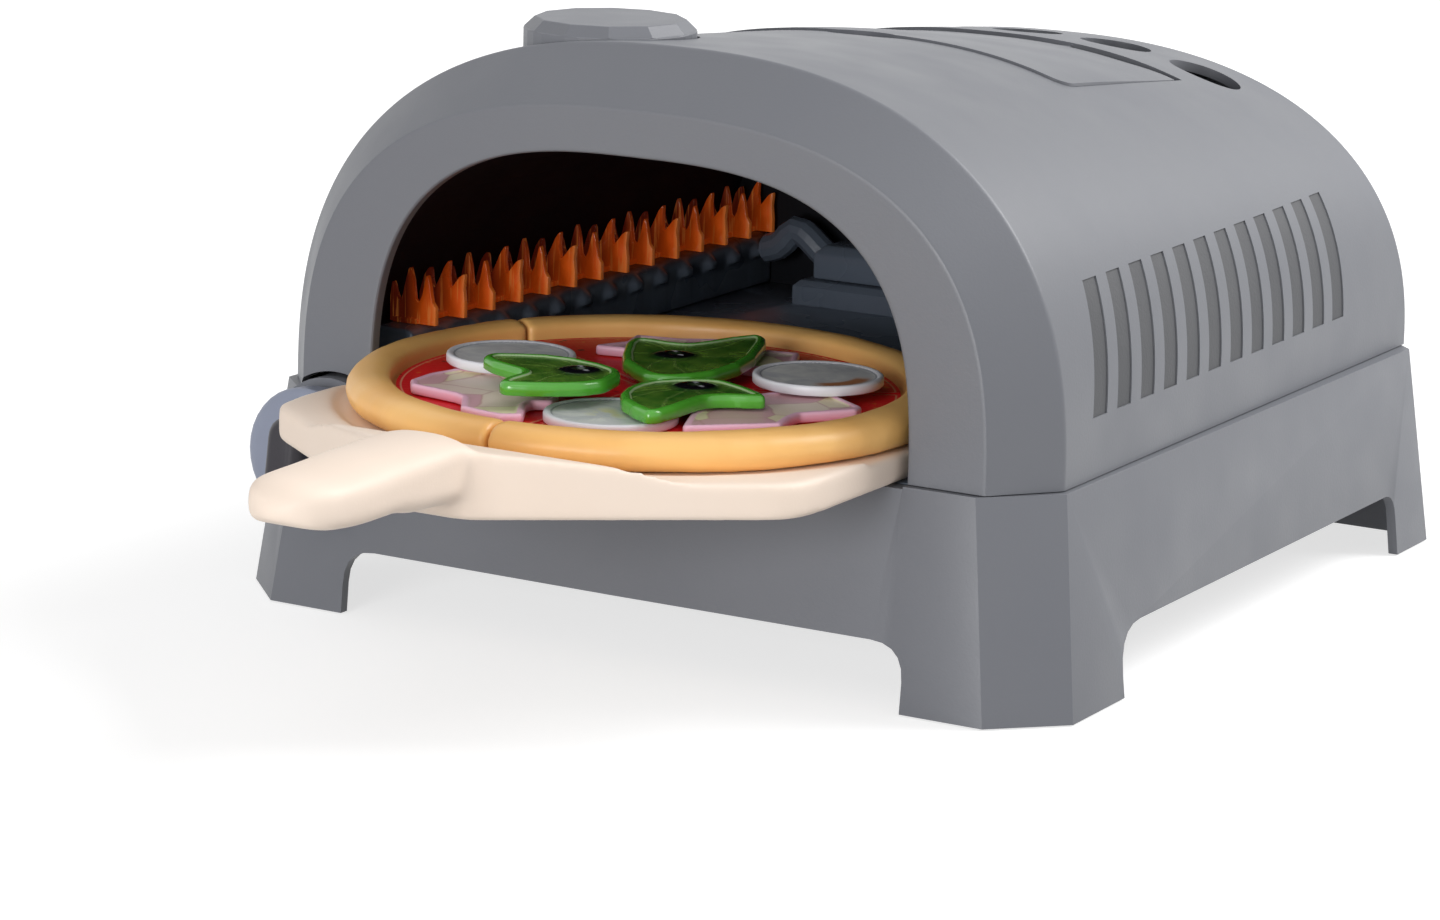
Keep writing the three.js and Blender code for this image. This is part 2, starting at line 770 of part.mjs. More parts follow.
const hoodKnuckles = [-1, 1].map((side) => {
  const [from, to] = side > 0 ? [knuckleMiddle, knuckleOuter] : [-knuckleOuter, -knuckleMiddle];
  const arm = meet(
    block(from, to, hatchAxisY, hatchAxisY + knuckleReach, knuckleBottom, roofHigh),
    hoodBody(hoodWall / 2, hatchAxisY - overrun, hatchAxisY + overrun, ledgeHeight));
  const bore = rod(hatchPinRadius + boreGap, "x", hatchAxisY, hatchAxisZ, from - seat, to - seat, 12);
  const boreLeft = rod(hatchPinRadius + boreGap, "x", hatchAxisY, hatchAxisZ, from + seat, to + seat,
    12);
  return cut(join(arm, knuckle(from, to)), side > 0 ? bore : boreLeft);
});
const slotFront = block(-hatchHalfWidth, hatchHalfWidth, hatchBack - overrun, hatchAxisY,
  roofLow, roofHigh);
const wellRadius = capRadius + wellGap;
const wellBottom = capTop - capDrop - wellFloor;
const well = rod(wellRadius + wellWall, "z", capX, capY, wellBottom - wellFloor, roofHigh,
  roundSides);
const wellInside = rod(wellRadius, "z", capX, capY, wellBottom, roofHigh + overrun, roundSides);
const screwBosses = baseScrews.map((s) =>
  rod(screwBossRadius, "z", s.x, s.y, plateTop + seat, hoodFoot + bossHeight, bossSides));
const screwPilots = baseScrews.map((s) =>
  rod(screwHole, "z", s.x, s.y, 0, hoodFoot + screwShankLength, screwSides));
const panelBack = hoodBackAt - panelInset;
const panelFront = panelBack - panelThickness;

// A place just inside the hood's back edge, at a share of the way round from its right foot.
function panelPlace(share) {
  const arch = hoodArch(panelBack, panelScrewInset);
  const angle = Math.PI * share;
  return {
    x: arch.half * Math.cos(angle) ** (2 / arch.power),
    z: ledgeHeight + arch.rise * Math.sin(angle) ** (2 / arch.power),
  };
}
const lowPlace = panelPlace(panelScrewLowShare);
const highPlace = panelPlace(panelScrewHighShare);
const panelScrews = [
  { name: "panel_screw_low_left", x: -lowPlace.x, z: lowPlace.z },
  { name: "panel_screw_low_right", x: lowPlace.x, z: lowPlace.z },
  { name: "panel_screw_high_left", x: -highPlace.x, z: highPlace.z },
  { name: "panel_screw_high_right", x: highPlace.x, z: highPlace.z },
];
const panelBossFront = panelFront - seat - panelBossLength;
const panelBosses = panelScrews.map((s) =>
  rod(screwBossRadius + seat, "y", s.x, s.z, panelBossFront, panelFront - seat, bossSides));
const panelPilots = panelScrews.map((s) =>
  rod(screwHole, "y", s.x, s.z, panelFront - screwShankLength, panelBack, screwSides));
const vents = [];
for (let i = -ventsEachSide; i <= ventsEachSide; i += 1) {
  vents.push(rod(ventRadius, "z", i * ventPitch, ventY, ledgeHeight + overrun, roofHigh,
    ventSides));
}
const hoodInside = hoodBody(hoodWall, frontPlate, hoodBackAt + overrun, ledgeHeight - overrun);
let hood = cut(
  hoodBody(0, 0, hoodBackAt, hoodFoot),
  hoodInside,
  mouthCut,
  rod(pocketRadius, "y", knobX, knobZ, -overrun, pocketDepthInHood, roundSides),
);
hood = join(
  hood,
  meet(well, hoodBody(hoodWall / 2, 0, hoodBackAt, hoodFoot)),
  ...[...screwBosses, ...panelBosses].map((boss) =>
    meet(boss, hoodBody(hoodWall / 2, 0, hoodBackAt, plateTop))),
);
hood = cut(hood, wellInside, hatchRegion(hatchGap, hatchSlotBack, scoopDepth));
hood = join(hood, lip);
hood = join(hood, ...hoodKnuckles);
hood = cut(
  hood,
  ...vents,
  ...screwPilots,
  ...panelPilots,
  rod(spindleRadius + boreGap, "z", capX, capY, ledgeHeight, roofHigh, 20),
);
add(fixed, "hood", hood, bodyGrey);

// Hatch, turning on its two pins

const hatchGroup = new THREE.Group();
hatchGroup.position.set(0, hatchAxisY, hatchAxisZ);
root.add(hatchGroup);
let hatch = meet(
  hoodShell(-hatchProud, lidUnderside, lipZoneFront, lipZoneBack, ledgeHeight),
  hatchRegion(0, hatchBack, 0));
const scoop = rod(scoopHalfWidth, "z", 0, hatchFront - scoopHalfWidth + scoopRise, roofLow, roofHigh,
  40);
const lugs = [-1, 1].map((side) => {
  const [from, to] = side > 0 ? [knuckleInner, knuckleMiddle] : [-knuckleMiddle, -knuckleInner];
  const low = side > 0 ? from : from + seat;
  const high = side > 0 ? to - seat : to;
  const arm = meet(
    block(low, high, hatchBack - knuckleReach, hatchAxisY, knuckleBottom,
      hatchAxisZ + knuckleRadius),
    hoodBody(lidUnderside / 2, lipZoneFront, lipZoneBack, ledgeHeight));
  const inner = side > 0 ? low + seat * 4 : high - seat * 4;
  const bore = side > 0 ? [inner, high + seat] : [low - seat, inner];
  return cut(
    join(arm, knuckle(low, high)),
    rod(hatchPinRadius + boreGap, "x", hatchAxisY, hatchAxisZ, bore[0], bore[1], 12));
});
hatch = join(cut(hatch, scoop), ...lugs);
add(hatchGroup, "hatch", into(hatchGroup, hatch), bodyGrey);
[["hatch_pin_left", -1], ["hatch_pin_right", 1]].forEach(([name, side]) => {
  const near = knuckleInner + seat * 5;
  const far = knuckleOuter - seat * 2;
  const [from, to] = side > 0 ? [near, far] : [-far, -near];
  add(hatchGroup, name, into(hatchGroup,
    rod(hatchPinRadius, "x", hatchAxisY, hatchAxisZ, from, to, 12)), steel);
});

// Bin under the hatch

const binSpace = hoodBody(lipBottomInset + seat, lipZoneFront, lipZoneBack, ledgeHeight);
const binShape = (inset, floorAt) =>
  block(-binHalfWidth + inset, binHalfWidth - inset, binFront + inset, binBack - inset,
    floorAt, roofHigh);
const flange = meet(
  hoodShell(lipBottomInset + seat, lipBottomInset + seat + binFlange, lipZoneFront, lipZoneBack,
    ledgeHeight),
  hatchRegion(hatchGap, hatchBack - knuckleReach - seat * 3, 0));
const bin = cut(
  join(flange, meet(binShape(0, binFloorAt), binSpace)),
  binShape(binWall, binFloorAt + binWall));
add(fixed, "topping_bin", bin, blackPlastic);

// Turning cap with its spindle and clip

const capGroup = new THREE.Group();
capGroup.position.set(capX, capY, 0);
root.add(capGroup);
const capFoot = wellBottom + seat;
const capBody = cut(
  join(
    rod(capRadius, "z", capX, capY, capFoot, capTop - capChamfer, roundSides),
    rod(capRadius, "z", capX, capY, capTop - capChamfer, capTop, capSides, capTopRadius)),
  rod(capRadius - capWall, "z", capX, capY, capFoot - seat, capTop - capChamfer, roundSides),
);
const hubRadius = spindleFlange;
const hub = rod(hubRadius, "z", capX, capY, capFoot, capTop - capWall, 24);
const spindleTop = capTop - capWall * 2;
const cap = cut(
  join(capBody, hub),
  rod(spindleRadius + boreGap, "z", capX, capY, capFoot - seat, spindleTop, 20));
add(capGroup, "turning_cap", into(capGroup, cap), bodyGrey);
const clipTop = wellBottom - wellFloor - seat;
const spindleBottom = clipTop - clipThickness - seat;
add(capGroup, "cap_spindle", into(capGroup,
  join(
    rod(spindleRadius, "z", capX, capY, spindleBottom, spindleTop - seat, 20),
    rod(spindleRadius + seat * 4, "z", capX, capY, spindleBottom - spindleFlangeThickness,
      spindleBottom, 20))), steel);
add(capGroup, "cap_clip", into(capGroup,
  cut(
    rod(clipRadius, "z", capX, capY, clipTop - clipThickness, clipTop, 24),
    rod(spindleRadius + boreGap, "z", capX, capY, clipTop - overrun, clipTop + overrun, 20))),
  steel);

// Inner vault with its back wall

const vaultArch = (y, inset) => {
  const t = (y - vaultStart) / (vaultEnd - vaultStart);
  return {
    half: mix(vaultFront.half, vaultBack.half, t) - inset,
    rise: mix(vaultFront.rise, vaultBack.rise, t) - inset,
    power: mix(vaultFront.power, vaultBack.power, t),
  };
};
const vaultBody = (inset, from, to, foot) =>
  loft([from, to].map((y) => archRing(vaultArch(y, inset), y, foot, vaultSteps)));
const insideRim = join(
  baseBody(rimInset + seat, floorUnderside, ledgeHeight + seat),
  block(-ledgeHalfWidth, ledgeHalfWidth, 0, ledgeBack, ledgeHeight + seat, roofHigh));
const vault = meet(
  cut(
    vaultBody(0, vaultStart, vaultEnd, floorUnderside),
    vaultBody(vaultWall, vaultStart - overrun, vaultEnd - vaultWall, floorUnderside - overrun)),
  insideRim);
const pocketClearance = rod(pocketRadius, "y", knobX, knobZ, -overrun, pocketDepthInHood, roundSides);
add(fixed, "inner_vault", cut(vault, pocketClearance), blackPlastic);

// Oven floor with its rear step

const floorFront = ledgeFront + rimInset + floorMargin;
const floorHalf = vaultBack.half - vaultWall - floorMargin;
const floorBack = vaultEnd - vaultWall - seat;
const floorPlate = join(
  block(-floorHalf, floorHalf, floorFront, floorBack, floorUnderside, floorTop),
  loft([
    [stepLeft, stepFront, floorTop - seat], [floorHalf, stepFront, floorTop - seat],
    [floorHalf, floorBack, floorTop - seat], [stepLeft, floorBack, floorTop - seat],
  ].map(([x, y, z]) => new THREE.Vector3(x, y, z)).reduce((rings, p, i, all) => {
    if (i > 0) return rings;
    const inner = [
      [stepLeft + bevelTop, stepFront + bevelTop], [floorHalf - bevelTop, stepFront + bevelTop],
      [floorHalf - bevelTop, floorBack], [stepLeft + bevelTop, floorBack],
    ];
    const middle = all.map((q) => new THREE.Vector3(q.x, q.y, stepTop - bevelTop));
    return [all, middle, inner.map(([x, y]) => new THREE.Vector3(x, y, stepTop))];
  }, [])));
const ovenFloor = cut(
  floorPlate,
  pocketClearance,
  ...burnerScrews.map((s) => rod(screwHole, "z", burnerMiddle, s.y, 0, floorTop + overrun,
    screwSides)));
add(fixed, "oven_floor", ovenFloor, darkGrey);

// Housing on the rear step

const housingBack = floorBack - floorMargin;
const housingOutline = (inset, z) => [
  [housingLeft + inset, housingFront + inset], [housingRight - inset, housingFront + inset],
  [housingRight - inset, housingBack], [housingLeft + inset, housingBack],
].map(([x, y]) => new THREE.Vector3(x, y, z));
add(fixed, "rear_housing", loft([
  housingOutline(0, stepTop + seat), housingOutline(0, housingTop - housingChamfer),
  housingOutline(housingChamfer, housingTop),
]), darkGrey);

// Burner bar with a lobe between each pair of flames

const burnerBottom = floorTop + seat;
const burnerSection = rounded([
  [burnerLeft, burnerBottom, 0], [burnerRight, burnerBottom, 0],
  [burnerRight, burnerTop, burnerRound], [burnerLeft, burnerTop, burnerRound],
]);
const lobes = [];
for (let i = 0; i < flameCount - 1; i += 1) {
  const y = flameFirst + flamePitch * (i + 1 / 2);
  const x = burnerRight + lobeProud - lobeRadius;
  lobes.push(rod(lobeRadius, "z", x, y, burnerBottom, burnerTop - lobeTopDrop - lobeProud, 10));
  lobes.push(rod(lobeRadius, "z", x, y, burnerTop - lobeTopDrop - lobeProud,
    burnerTop - lobeTopDrop, 10, lobeRadius - lobeProud));
}
const burner = cut(
  join(prism(burnerSection, "y", burnerFront, burnerBack), ...lobes),
  ...burnerScrews.map((s) => rod(screwHole, "z", burnerMiddle, s.y, 0,
    floorTop + screwShankLength, screwSides)));
add(fixed, "burner_bar", burner, darkGrey);

// Comb of flames on the burner

const flameFoot = burnerTop + seat;
const flameLeft = flameRight - flameWidth;
const railMiddle = (burnerLeft + burnerRight) / 2;
const flames = [];
for (let i = 0; i < flameCount; i += 1) {
  const shares = i % 2 === 0 ? narrowFlameShares : broadFlameShares;
  const outline = shares.map(([u, v]) => [flameLeft + u * flameWidth, flameFoot + v * flameHeight]);
  const y = flameFirst + flamePitch * i;
  flames.push(prism(outline, "y", y - flameThickness / 2, y + flameThickness / 2));
}
const rail = block(railMiddle - railWidth / 2, railMiddle + railWidth / 2, flameFirst - flameThickness,
  flameFirst + flamePitch * (flameCount - 1) + flameThickness, flameFoot, flameFoot + railHeight);
add(fixed, "flame_comb", join(rail, ...flames), flameOrange);

// Feed pipe from the end of the burner to the rear housing

const pipeStart = new THREE.Vector3(burnerMiddle + pipeRadius, burnerBack - pipeRadius * 2,
  stepTop + seat * 2 + pipeRadius);
const pipePath = new THREE.CatmullRomCurve3([
  new THREE.Vector3(burnerRight + lobeProud + seat, pipeStart.y, pipeStart.z),
  new THREE.Vector3(burnerRight + lobeProud + pipeRun / 4, pipeStart.y, pipeStart.z + pipeRise / 4),
  new THREE.Vector3(burnerRight + lobeProud + pipeRun / 2, pipeStart.y, pipeStart.z + pipeRise),
  new THREE.Vector3(housingLeft - seat - pipeRadius / 2, pipeStart.y, pipeStart.z),
]);
const pipeSection = [];
for (let i = 0; i < pipeSides; i += 1) {
  const angle = (2 * Math.PI * i) / pipeSides;
  pipeSection.push([pipeRadius * Math.cos(angle), pipeRadius * Math.sin(angle)]);
}
const pipe = solid(new THREE.ExtrudeGeometry(new THREE.Shape(cornersOf(pipeSection)),
  { steps: pipeSteps, extrudePath: pipePath, bevelEnabled: false }));
const pipeLimits = block(burnerRight + lobeProud + seat, housingLeft - seat, 0, hoodBackAt, 0,
  roofHigh);
add(fixed, "feed_pipe", meet(pipe, pipeLimits), darkGrey);

// Back cover

const panelFoot = ledgeHeight + seat * 2;
const panelArch = (y) => hoodArch(y, hoodWall + seat);
const panelHoles = panelScrews.map((s) =>
  rod(screwHole, "y", s.x, s.z, panelFront - overrun, panelBack + overrun, screwSides));
const panelSlotCuts = [];
for (let i = 0; i < panelSlots; i += 1) {
  const z = panelSlotFirst + panelSlotPitch * i;
  panelSlotCuts.push(block(-panelSlotHalfWidth, panelSlotHalfWidth, panelFront - overrun,
    panelBack + overrun, z, z + panelSlotHeight));
}
add(fixed, "back_cover", cut(
  loft([
    archRing(panelArch(panelFront), panelFront, panelFoot),
    archRing(panelArch(panelBack), panelBack, panelFoot),
  ]),
  ...panelHoles, ...panelSlotCuts), bodyGrey);

// Screws

// A screw along Z or Y whose head's inner face is at headAt; way is the direction of its shank.
function screw(axis, u, v, headAt, way, length) {
  const head = way > 0 ? [headAt - screwHeadHeight, headAt] : [headAt, headAt + screwHeadHeight];
  const shank = way > 0 ? [headAt, headAt + length] : [headAt - length, headAt];
  return join(
    rod(screwHeadRadius, axis, u, v, head[0], head[1], screwSides),
    rod(screwShankRadius, axis, u, v, shank[0], shank[1], screwSides));
}
const baseScrewLength = hoodFoot + screwShankLength - plateBottom - seat;
const burnerScrewLength = floorTop + screwShankLength - plateBottom - seat;
baseScrews.forEach((s) => add(fixed, s.name,
  screw("z", s.x, s.y, plateBottom - seat, 1, baseScrewLength), steel));
panelScrews.forEach((s) => add(fixed, s.name,
  screw("y", s.x, s.z, panelBack + seat, -1, panelThickness + screwShankLength - seat), steel));
burnerScrews.forEach((s) => add(fixed, s.name,
  screw("z", burnerMiddle, s.y, plateBottom - seat, 1, burnerScrewLength), steel));

// Control knob with its grip, shaft and clip

const knobGroup = new THREE.Group();
knobGroup.position.set(knobX, 0, knobZ);
root.add(knobGroup);
const knobRear = pocketFloorAt - seat;
const knobFace = knobRear - knobDepth;
const knobRim = knobRear - knobRimAt;
const knobProfile = [
  [0, knobFace], [knobFaceRadius, knobFace],
  [mix(knobFaceRadius, knobRadius, 3 / 5), mix(knobFace, knobRim, 1 / 4)],
  [mix(knobFaceRadius, knobRadius, 9 / 10), mix(knobFace, knobRim, 3 / 5)],
  [knobRadius, knobRim],
  [mix(knobRearRadius, knobRadius, 3 / 4), mix(knobRim, knobRear, 1 / 2)],
  [knobRearRadius, knobRear], [0, knobRear],
];
const shaftFront = knobRear - knobDepth / 2;
const knobBody = cut(
  turned(knobProfile, "y", knobX, knobZ, roundSides),
  rod(shaftHole, "y", knobX, knobZ, shaftFront, knobRear + overrun, 20));
add(knobGroup, "control_knob", into(knobGroup, knobBody), knobSilver);
const gripRound = gripWidth / 2;
const gripOutline = (inset) => rounded([
  [-gripWidth / 2 + inset, -gripLength / 2 + inset, gripRound - inset],
  [gripWidth / 2 - inset, -gripLength / 2 + inset, gripRound - inset],
  [gripWidth / 2 - inset, gripLength / 2 - inset, gripRound - inset],
  [-gripWidth / 2 + inset, gripLength / 2 - inset, gripRound - inset],
]);
const gripRing = (inset, y) => gripOutline(inset).map((p) => new THREE.Vector3(p.x, y, p.y));
const gripBack = knobFace - seat;
const grip = loft([
  gripRing(0, gripBack), gripRing(0, gripBack - gripHeight * 3 / 4),
  gripRing(gripWidth / 6, gripBack - gripHeight),
]);
const gripMesh = add(knobGroup, "knob_grip", grip, blackPlastic);
gripMesh.rotation.y = THREE.MathUtils.degToRad(gripLeanDegrees);
add(knobGroup, "knob_shaft", into(knobGroup,
  rod(shaftRadius, "y", knobX, knobZ, shaftFront + seat, shaftBack, 20)), steel);
add(knobGroup, "knob_clip", into(knobGroup, cut(
  rod(knobClipRadius, "y", knobX, knobZ, bossBack + seat, bossBack + seat + knobClipThickness, 24),
  rod(shaftHole, "y", knobX, knobZ, bossBack - overrun, bossBack + overrun, 20))), steel);

// Peel

const peelGroup = new THREE.Group();
peelGroup.position.set(0, 0, peelBottom);
root.add(peelGroup);
const bladeOutline = rounded([
  [neckHalfWidth, neckY, neckRound], [peelFrontCornerX, peelFrontCornerY, peelFrontRound],
  [peelHalfWidth, peelFrontCornerY + peelFrontRound, peelFrontRound],
  [peelHalfWidth, peelBack, peelBackCorner],
  [-peelHalfWidth, peelBack, peelBackCorner],
  [-peelHalfWidth, peelFrontCornerY + peelFrontRound, peelFrontRound],
  [-peelFrontCornerX, peelFrontCornerY, peelFrontRound], [-neckHalfWidth, neckY, neckRound],
]);
const underOutline = rounded([
  [neckHalfWidth - peelSkirt, lipWallY - peelSkirt, 0],
  [peelFrontCornerX - peelSkirt * 3, peelFrontCornerY + peelSkirt, peelFrontRound],
  [peelHalfWidth - peelSkirt, peelFrontCornerY + peelFrontRound + peelSkirt, peelFrontRound],
  [peelHalfWidth - peelSkirt, peelBack - peelSkirt, peelBackCorner - peelSkirt],
  [-peelHalfWidth + peelSkirt, peelBack - peelSkirt, peelBackCorner - peelSkirt],
  [-peelHalfWidth + peelSkirt, peelFrontCornerY + peelFrontRound + peelSkirt, peelFrontRound],
  [-peelFrontCornerX + peelSkirt * 3, peelFrontCornerY + peelSkirt, peelFrontRound],
  [-neckHalfWidth + peelSkirt, lipWallY - peelSkirt, 0],
]);
const lipWedge = (z0) => [
  [-peelHalfWidth, lipWallY, z0], [peelHalfWidth, lipWallY, z0],
  [peelHalfWidth, neckY, z0], [-peelHalfWidth, neckY, z0],
].map(([x, y, z]) => new THREE.Vector3(x, y, z));
const lipCeiling = lipWedge(0).map((p) =>
  new THREE.Vector3(p.x, p.y, p.y === neckY ? lipNeckTop : lipTop));
const frontLip = meet(
  prism(bladeOutline, "z", peelTop - peelSkin / 2, lipNeckTop + overrun),
  loft([lipWedge(peelTop - peelSkin / 2), lipCeiling]));

// Cross-section of the handle at a share of its length.
function handleRing([along, wide, under, edge, crown]) {
  const y = mix(neckY, handleTip, along);
  const half = neckHalfWidth * wide;
  const low = peelBottom + handleRise * under;
  const side = peelBottom + handleRise * edge;
  const top = peelBottom + handleRise * crown;
  const round = Math.min(half, side - low) / 4;
  const ring = [
    new THREE.Vector3(-half, y, side), new THREE.Vector3(-half, y, low + round),
    new THREE.Vector3(-half + round, y, low), new THREE.Vector3(half - round, y, low),
    new THREE.Vector3(half, y, low + round), new THREE.Vector3(half, y, side),
  ];
  for (let i = 1; i < handleSections; i += 1) {
    const angle = (Math.PI * i) / handleSections;
    ring.push(new THREE.Vector3(half * Math.cos(angle), y, side + (top - side) * Math.sin(angle)));
  }
  return ring;
}
const handleRings = handleShares.map(handleRing);
const handleRoot = handleRings[0].map((p) => new THREE.Vector3(p.x, neckY + peelSkirt * 2, p.z));
const handle = loft([handleRoot, ...handleRings]);
const handleLimit = block(-peelHalfWidth, peelHalfWidth, handleTip - overrun, neckY + peelSkirt,
  peelBottom, peelBottom + handleRise + overrun);
const peel = join(
  cut(
    prism(bladeOutline, "z", peelBottom, peelTop),
    prism(underOutline, "z", peelBottom - overrun, peelTop - peelSkin)),
  frontLip,
  meet(handle, handleLimit));
add(peelGroup, "peel", into(peelGroup, peel), cream);

// Play pizza: crust and sauce in three slices

const pizzaGroup = new THREE.Group();
pizzaGroup.position.set(pizzaX, pizzaY, 0);
root.add(pizzaGroup);
const crustWidth = pizzaRadius - crustInner;
const sauceBottom = sauceTop - sauceThickness;
const crustProfile = [
  [0, pizzaBottom],
  ...crustShares.map(([u, v]) => [crustInner + u * crustWidth, pizzaBottom + v * crustHeight]),
  [crustInner, sauceBottom - seat],
  [0, sauceBottom - seat],
];
const crust = turned(crustProfile, "z", 0, 0, crustSteps);
const sauce = rod(crustInner - seat, "z", 0, 0, sauceBottom, sauceTop, crustSteps);
const sliceNames = ["back", "left", "right"];
const sliceSpan = 360 / sliceCount;

// The wedge of one slice, drawn back from each seam by half the gap.
function wedge(index) {
  const middle = THREE.MathUtils.degToRad(firstSeamDegrees + sliceSpan * (index + 1 / 2));
  const half = THREE.MathUtils.degToRad(sliceSpan / 2);
  const tip = seamGap / 2 / Math.sin(half);
  const far = pizzaRadius * 2;
  const corner = (angle) => [
    tip * Math.cos(middle) + far * Math.cos(middle + angle),
    tip * Math.sin(middle) + far * Math.sin(middle + angle),
  ];
  return [[tip * Math.cos(middle), tip * Math.sin(middle)], corner(-half), corner(0), corner(half)];
}
sliceNames.forEach((name, index) => {
  const crustWedge = prism(wedge(index), "z", pizzaBottom - overrun, crustTop + overrun);
  add(pizzaGroup, "crust_" + name, meet(crust, crustWedge), crustBrown);
  add(pizzaGroup, "sauce_" + name, meet(sauce, crustWedge), sauceRed);
});

// Toppings: ham on the sauce, discs on the ham or the sauce, leaves on top

const hamBottom = sauceTop + seat;
const discLow = hamBottom;
const discHigh = hamBottom + hamThickness + seat;
[["ham_left", hamLeftShares], ["ham_back", hamBackShares], ["ham_right", hamRightShares]]
  .forEach(([name, shares]) => add(pizzaGroup, name,
    prism(smooth(shares, toppingRound), "z", hamBottom, hamBottom + hamThickness), hamPink));
discPlaces.forEach(({ name, xShare, yShare, level }) => {
  const low = level > 0 ? discHigh : discLow;
  const high = low + discThickness;
  const profile = [
    [0, low], [discRadius - discRimDepth, low], [discRadius, low + discRimDepth],
    [discRadius, high - discRimDepth], [discRadius - discRimDepth, high],
    [discRadius - discRim, high], [discRadius - discRim - discRimDepth, high - discRimDepth],
    [0, high - discRimDepth],
  ];
  add(pizzaGroup, name,
    turned(profile, "z", xShare * pizzaRadius, yShare * pizzaRadius, discSteps), discWhite);
});
const leafLevels = {
  leaf_left: discHigh + discThickness + seat,
  leaf_back: hamBottom + hamThickness + seat,
  leaf_front: discLow + discThickness + seat,
};
[["leaf_left", leafLeftShares], ["leaf_back", leafBackShares], ["leaf_front", leafFrontShares]]
  .forEach(([name, shares]) => add(pizzaGroup, name,
    prism(smooth(shares, toppingRound), "z", leafLevels[name], leafLevels[name] + leafThickness),
    leafGreen));

// The origin is under the middle of the whole part, on the ground.
const bounds = new THREE.Box3().setFromObject(root, true);
const middle = bounds.getCenter(new THREE.Vector3());
root.position.set(-middle.x, -middle.y, -bounds.min.z);

export default root;
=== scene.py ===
"""Looks of a toy pizza oven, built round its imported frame: hood, base, flame comb, peel and play pizza.

Sizes are in millimetres, in the drawing's own frame, whose Y = 0 is the hood's front face. The function
at() turns such a place into metres in the row frame.
"""

from __future__ import annotations

import logging
import math
from collections.abc import Callable, Iterable, Iterator, Sequence
from contextlib import contextmanager
from dataclasses import dataclass, field, replace
from enum import Enum

import bmesh
import bpy
import numpy as np
from mathutils import Matrix, Vector, geometry

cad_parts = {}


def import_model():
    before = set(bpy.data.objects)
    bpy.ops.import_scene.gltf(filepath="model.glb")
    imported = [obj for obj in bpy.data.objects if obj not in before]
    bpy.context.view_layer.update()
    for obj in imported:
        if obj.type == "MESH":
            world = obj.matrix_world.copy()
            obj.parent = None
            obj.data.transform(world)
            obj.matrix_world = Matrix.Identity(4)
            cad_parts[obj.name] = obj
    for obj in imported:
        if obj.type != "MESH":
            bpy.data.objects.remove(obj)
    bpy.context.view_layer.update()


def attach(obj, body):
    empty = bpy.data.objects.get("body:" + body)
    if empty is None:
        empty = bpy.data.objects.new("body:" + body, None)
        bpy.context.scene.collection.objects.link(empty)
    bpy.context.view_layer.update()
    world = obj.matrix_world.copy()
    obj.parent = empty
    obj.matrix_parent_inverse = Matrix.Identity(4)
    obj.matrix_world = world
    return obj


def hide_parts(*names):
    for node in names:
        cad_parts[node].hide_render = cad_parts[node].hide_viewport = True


log = logging.getLogger("toy_oven")

MM = 0.001
ROW_SHIFT = -49.4
LEDGE = 65.4
MERGE = 1e-6
SLIVER = 2e-6
RING_DEPTHS = (0.2, 0.55, 1.05)
WHITE = (1.0, 1.0, 1.0, 1.0)

Outline = list[tuple[float, float]]
Pair = tuple[float, float]
Heights = Callable[[np.ndarray, np.ndarray], np.ndarray]


class Axis(Enum):
    """The axis along which an outline is pushed."""

    X = "x"
    Y = "y"
    Z = "z"


class Cut(Enum):
    """What a boolean does with its tool."""

    TAKE = "DIFFERENCE"
    KEEP = "INTERSECT"
    JOIN = "UNION"


def at(x: float, y: float, z: float) -> Vector:
    """A place of the drawing, in metres in the row frame."""
    return Vector((x * MM, (y + ROW_SHIFT) * MM, z * MM))


# Modelling


def use(piece: bpy.types.Object) -> None:
    """Selects one piece alone and makes it active.

    Args:
        piece: The piece.
    """
    if bpy.context.mode != "OBJECT":
        bpy.ops.object.mode_set(mode="OBJECT")
    bpy.ops.object.select_all(action="DESELECT")
    piece.select_set(True)
    bpy.context.view_layer.objects.active = piece


@contextmanager
def editing(piece: bpy.types.Object) -> Iterator[bmesh.types.BMesh]:
    """Edit mode on one piece, with all of its mesh selected at first.

    Args:
        piece: The mesh object to edit.

    Yields:
        The mesh, for choosing what the next operator acts on.
    """
    use(piece)
    bpy.ops.object.mode_set(mode="EDIT")
    bpy.ops.mesh.select_all(action="SELECT")
    try:
        yield bmesh.from_edit_mesh(piece.data)
    finally:
        bpy.ops.object.mode_set(mode="OBJECT")


def pick_faces(mesh: bmesh.types.BMesh, wanted: Callable[[bmesh.types.BMFace], bool]) -> None:
    """Selects some of the faces, and nothing else.

    Args:
        mesh: The mesh in edit mode.
        wanted: Tells whether a face is one of them.
    """
    bpy.ops.mesh.select_mode(type="FACE")
    bpy.ops.mesh.select_all(action="DESELECT")
    for face in mesh.faces:
        face.select = wanted(face)
    mesh.select_flush_mode()


def settle(piece: bpy.types.Object) -> bpy.types.Object:
    """Merges doubled points, closes open ends and turns the faces outwards.

    Args:
        piece: The mesh object.

    Returns:
        The same piece.
    """
    with editing(piece):
        bpy.ops.mesh.remove_doubles(threshold=MERGE)
        bpy.ops.mesh.fill_holes(sides=0)
        bpy.ops.mesh.select_all(action="SELECT")
        bpy.ops.mesh.normals_make_consistent(inside=False)
    return piece


def soften(piece: bpy.types.Object, degrees: float) -> bpy.types.Object:
    """Shades a piece smoothly, except across its sharper edges.

    Args:
        piece: The mesh object.
        degrees: Edges sharper than this stay crisp.

    Returns:
        The same piece.
    """
    use(piece)
    bpy.ops.object.shade_smooth_by_angle(angle=math.radians(degrees))
    return piece


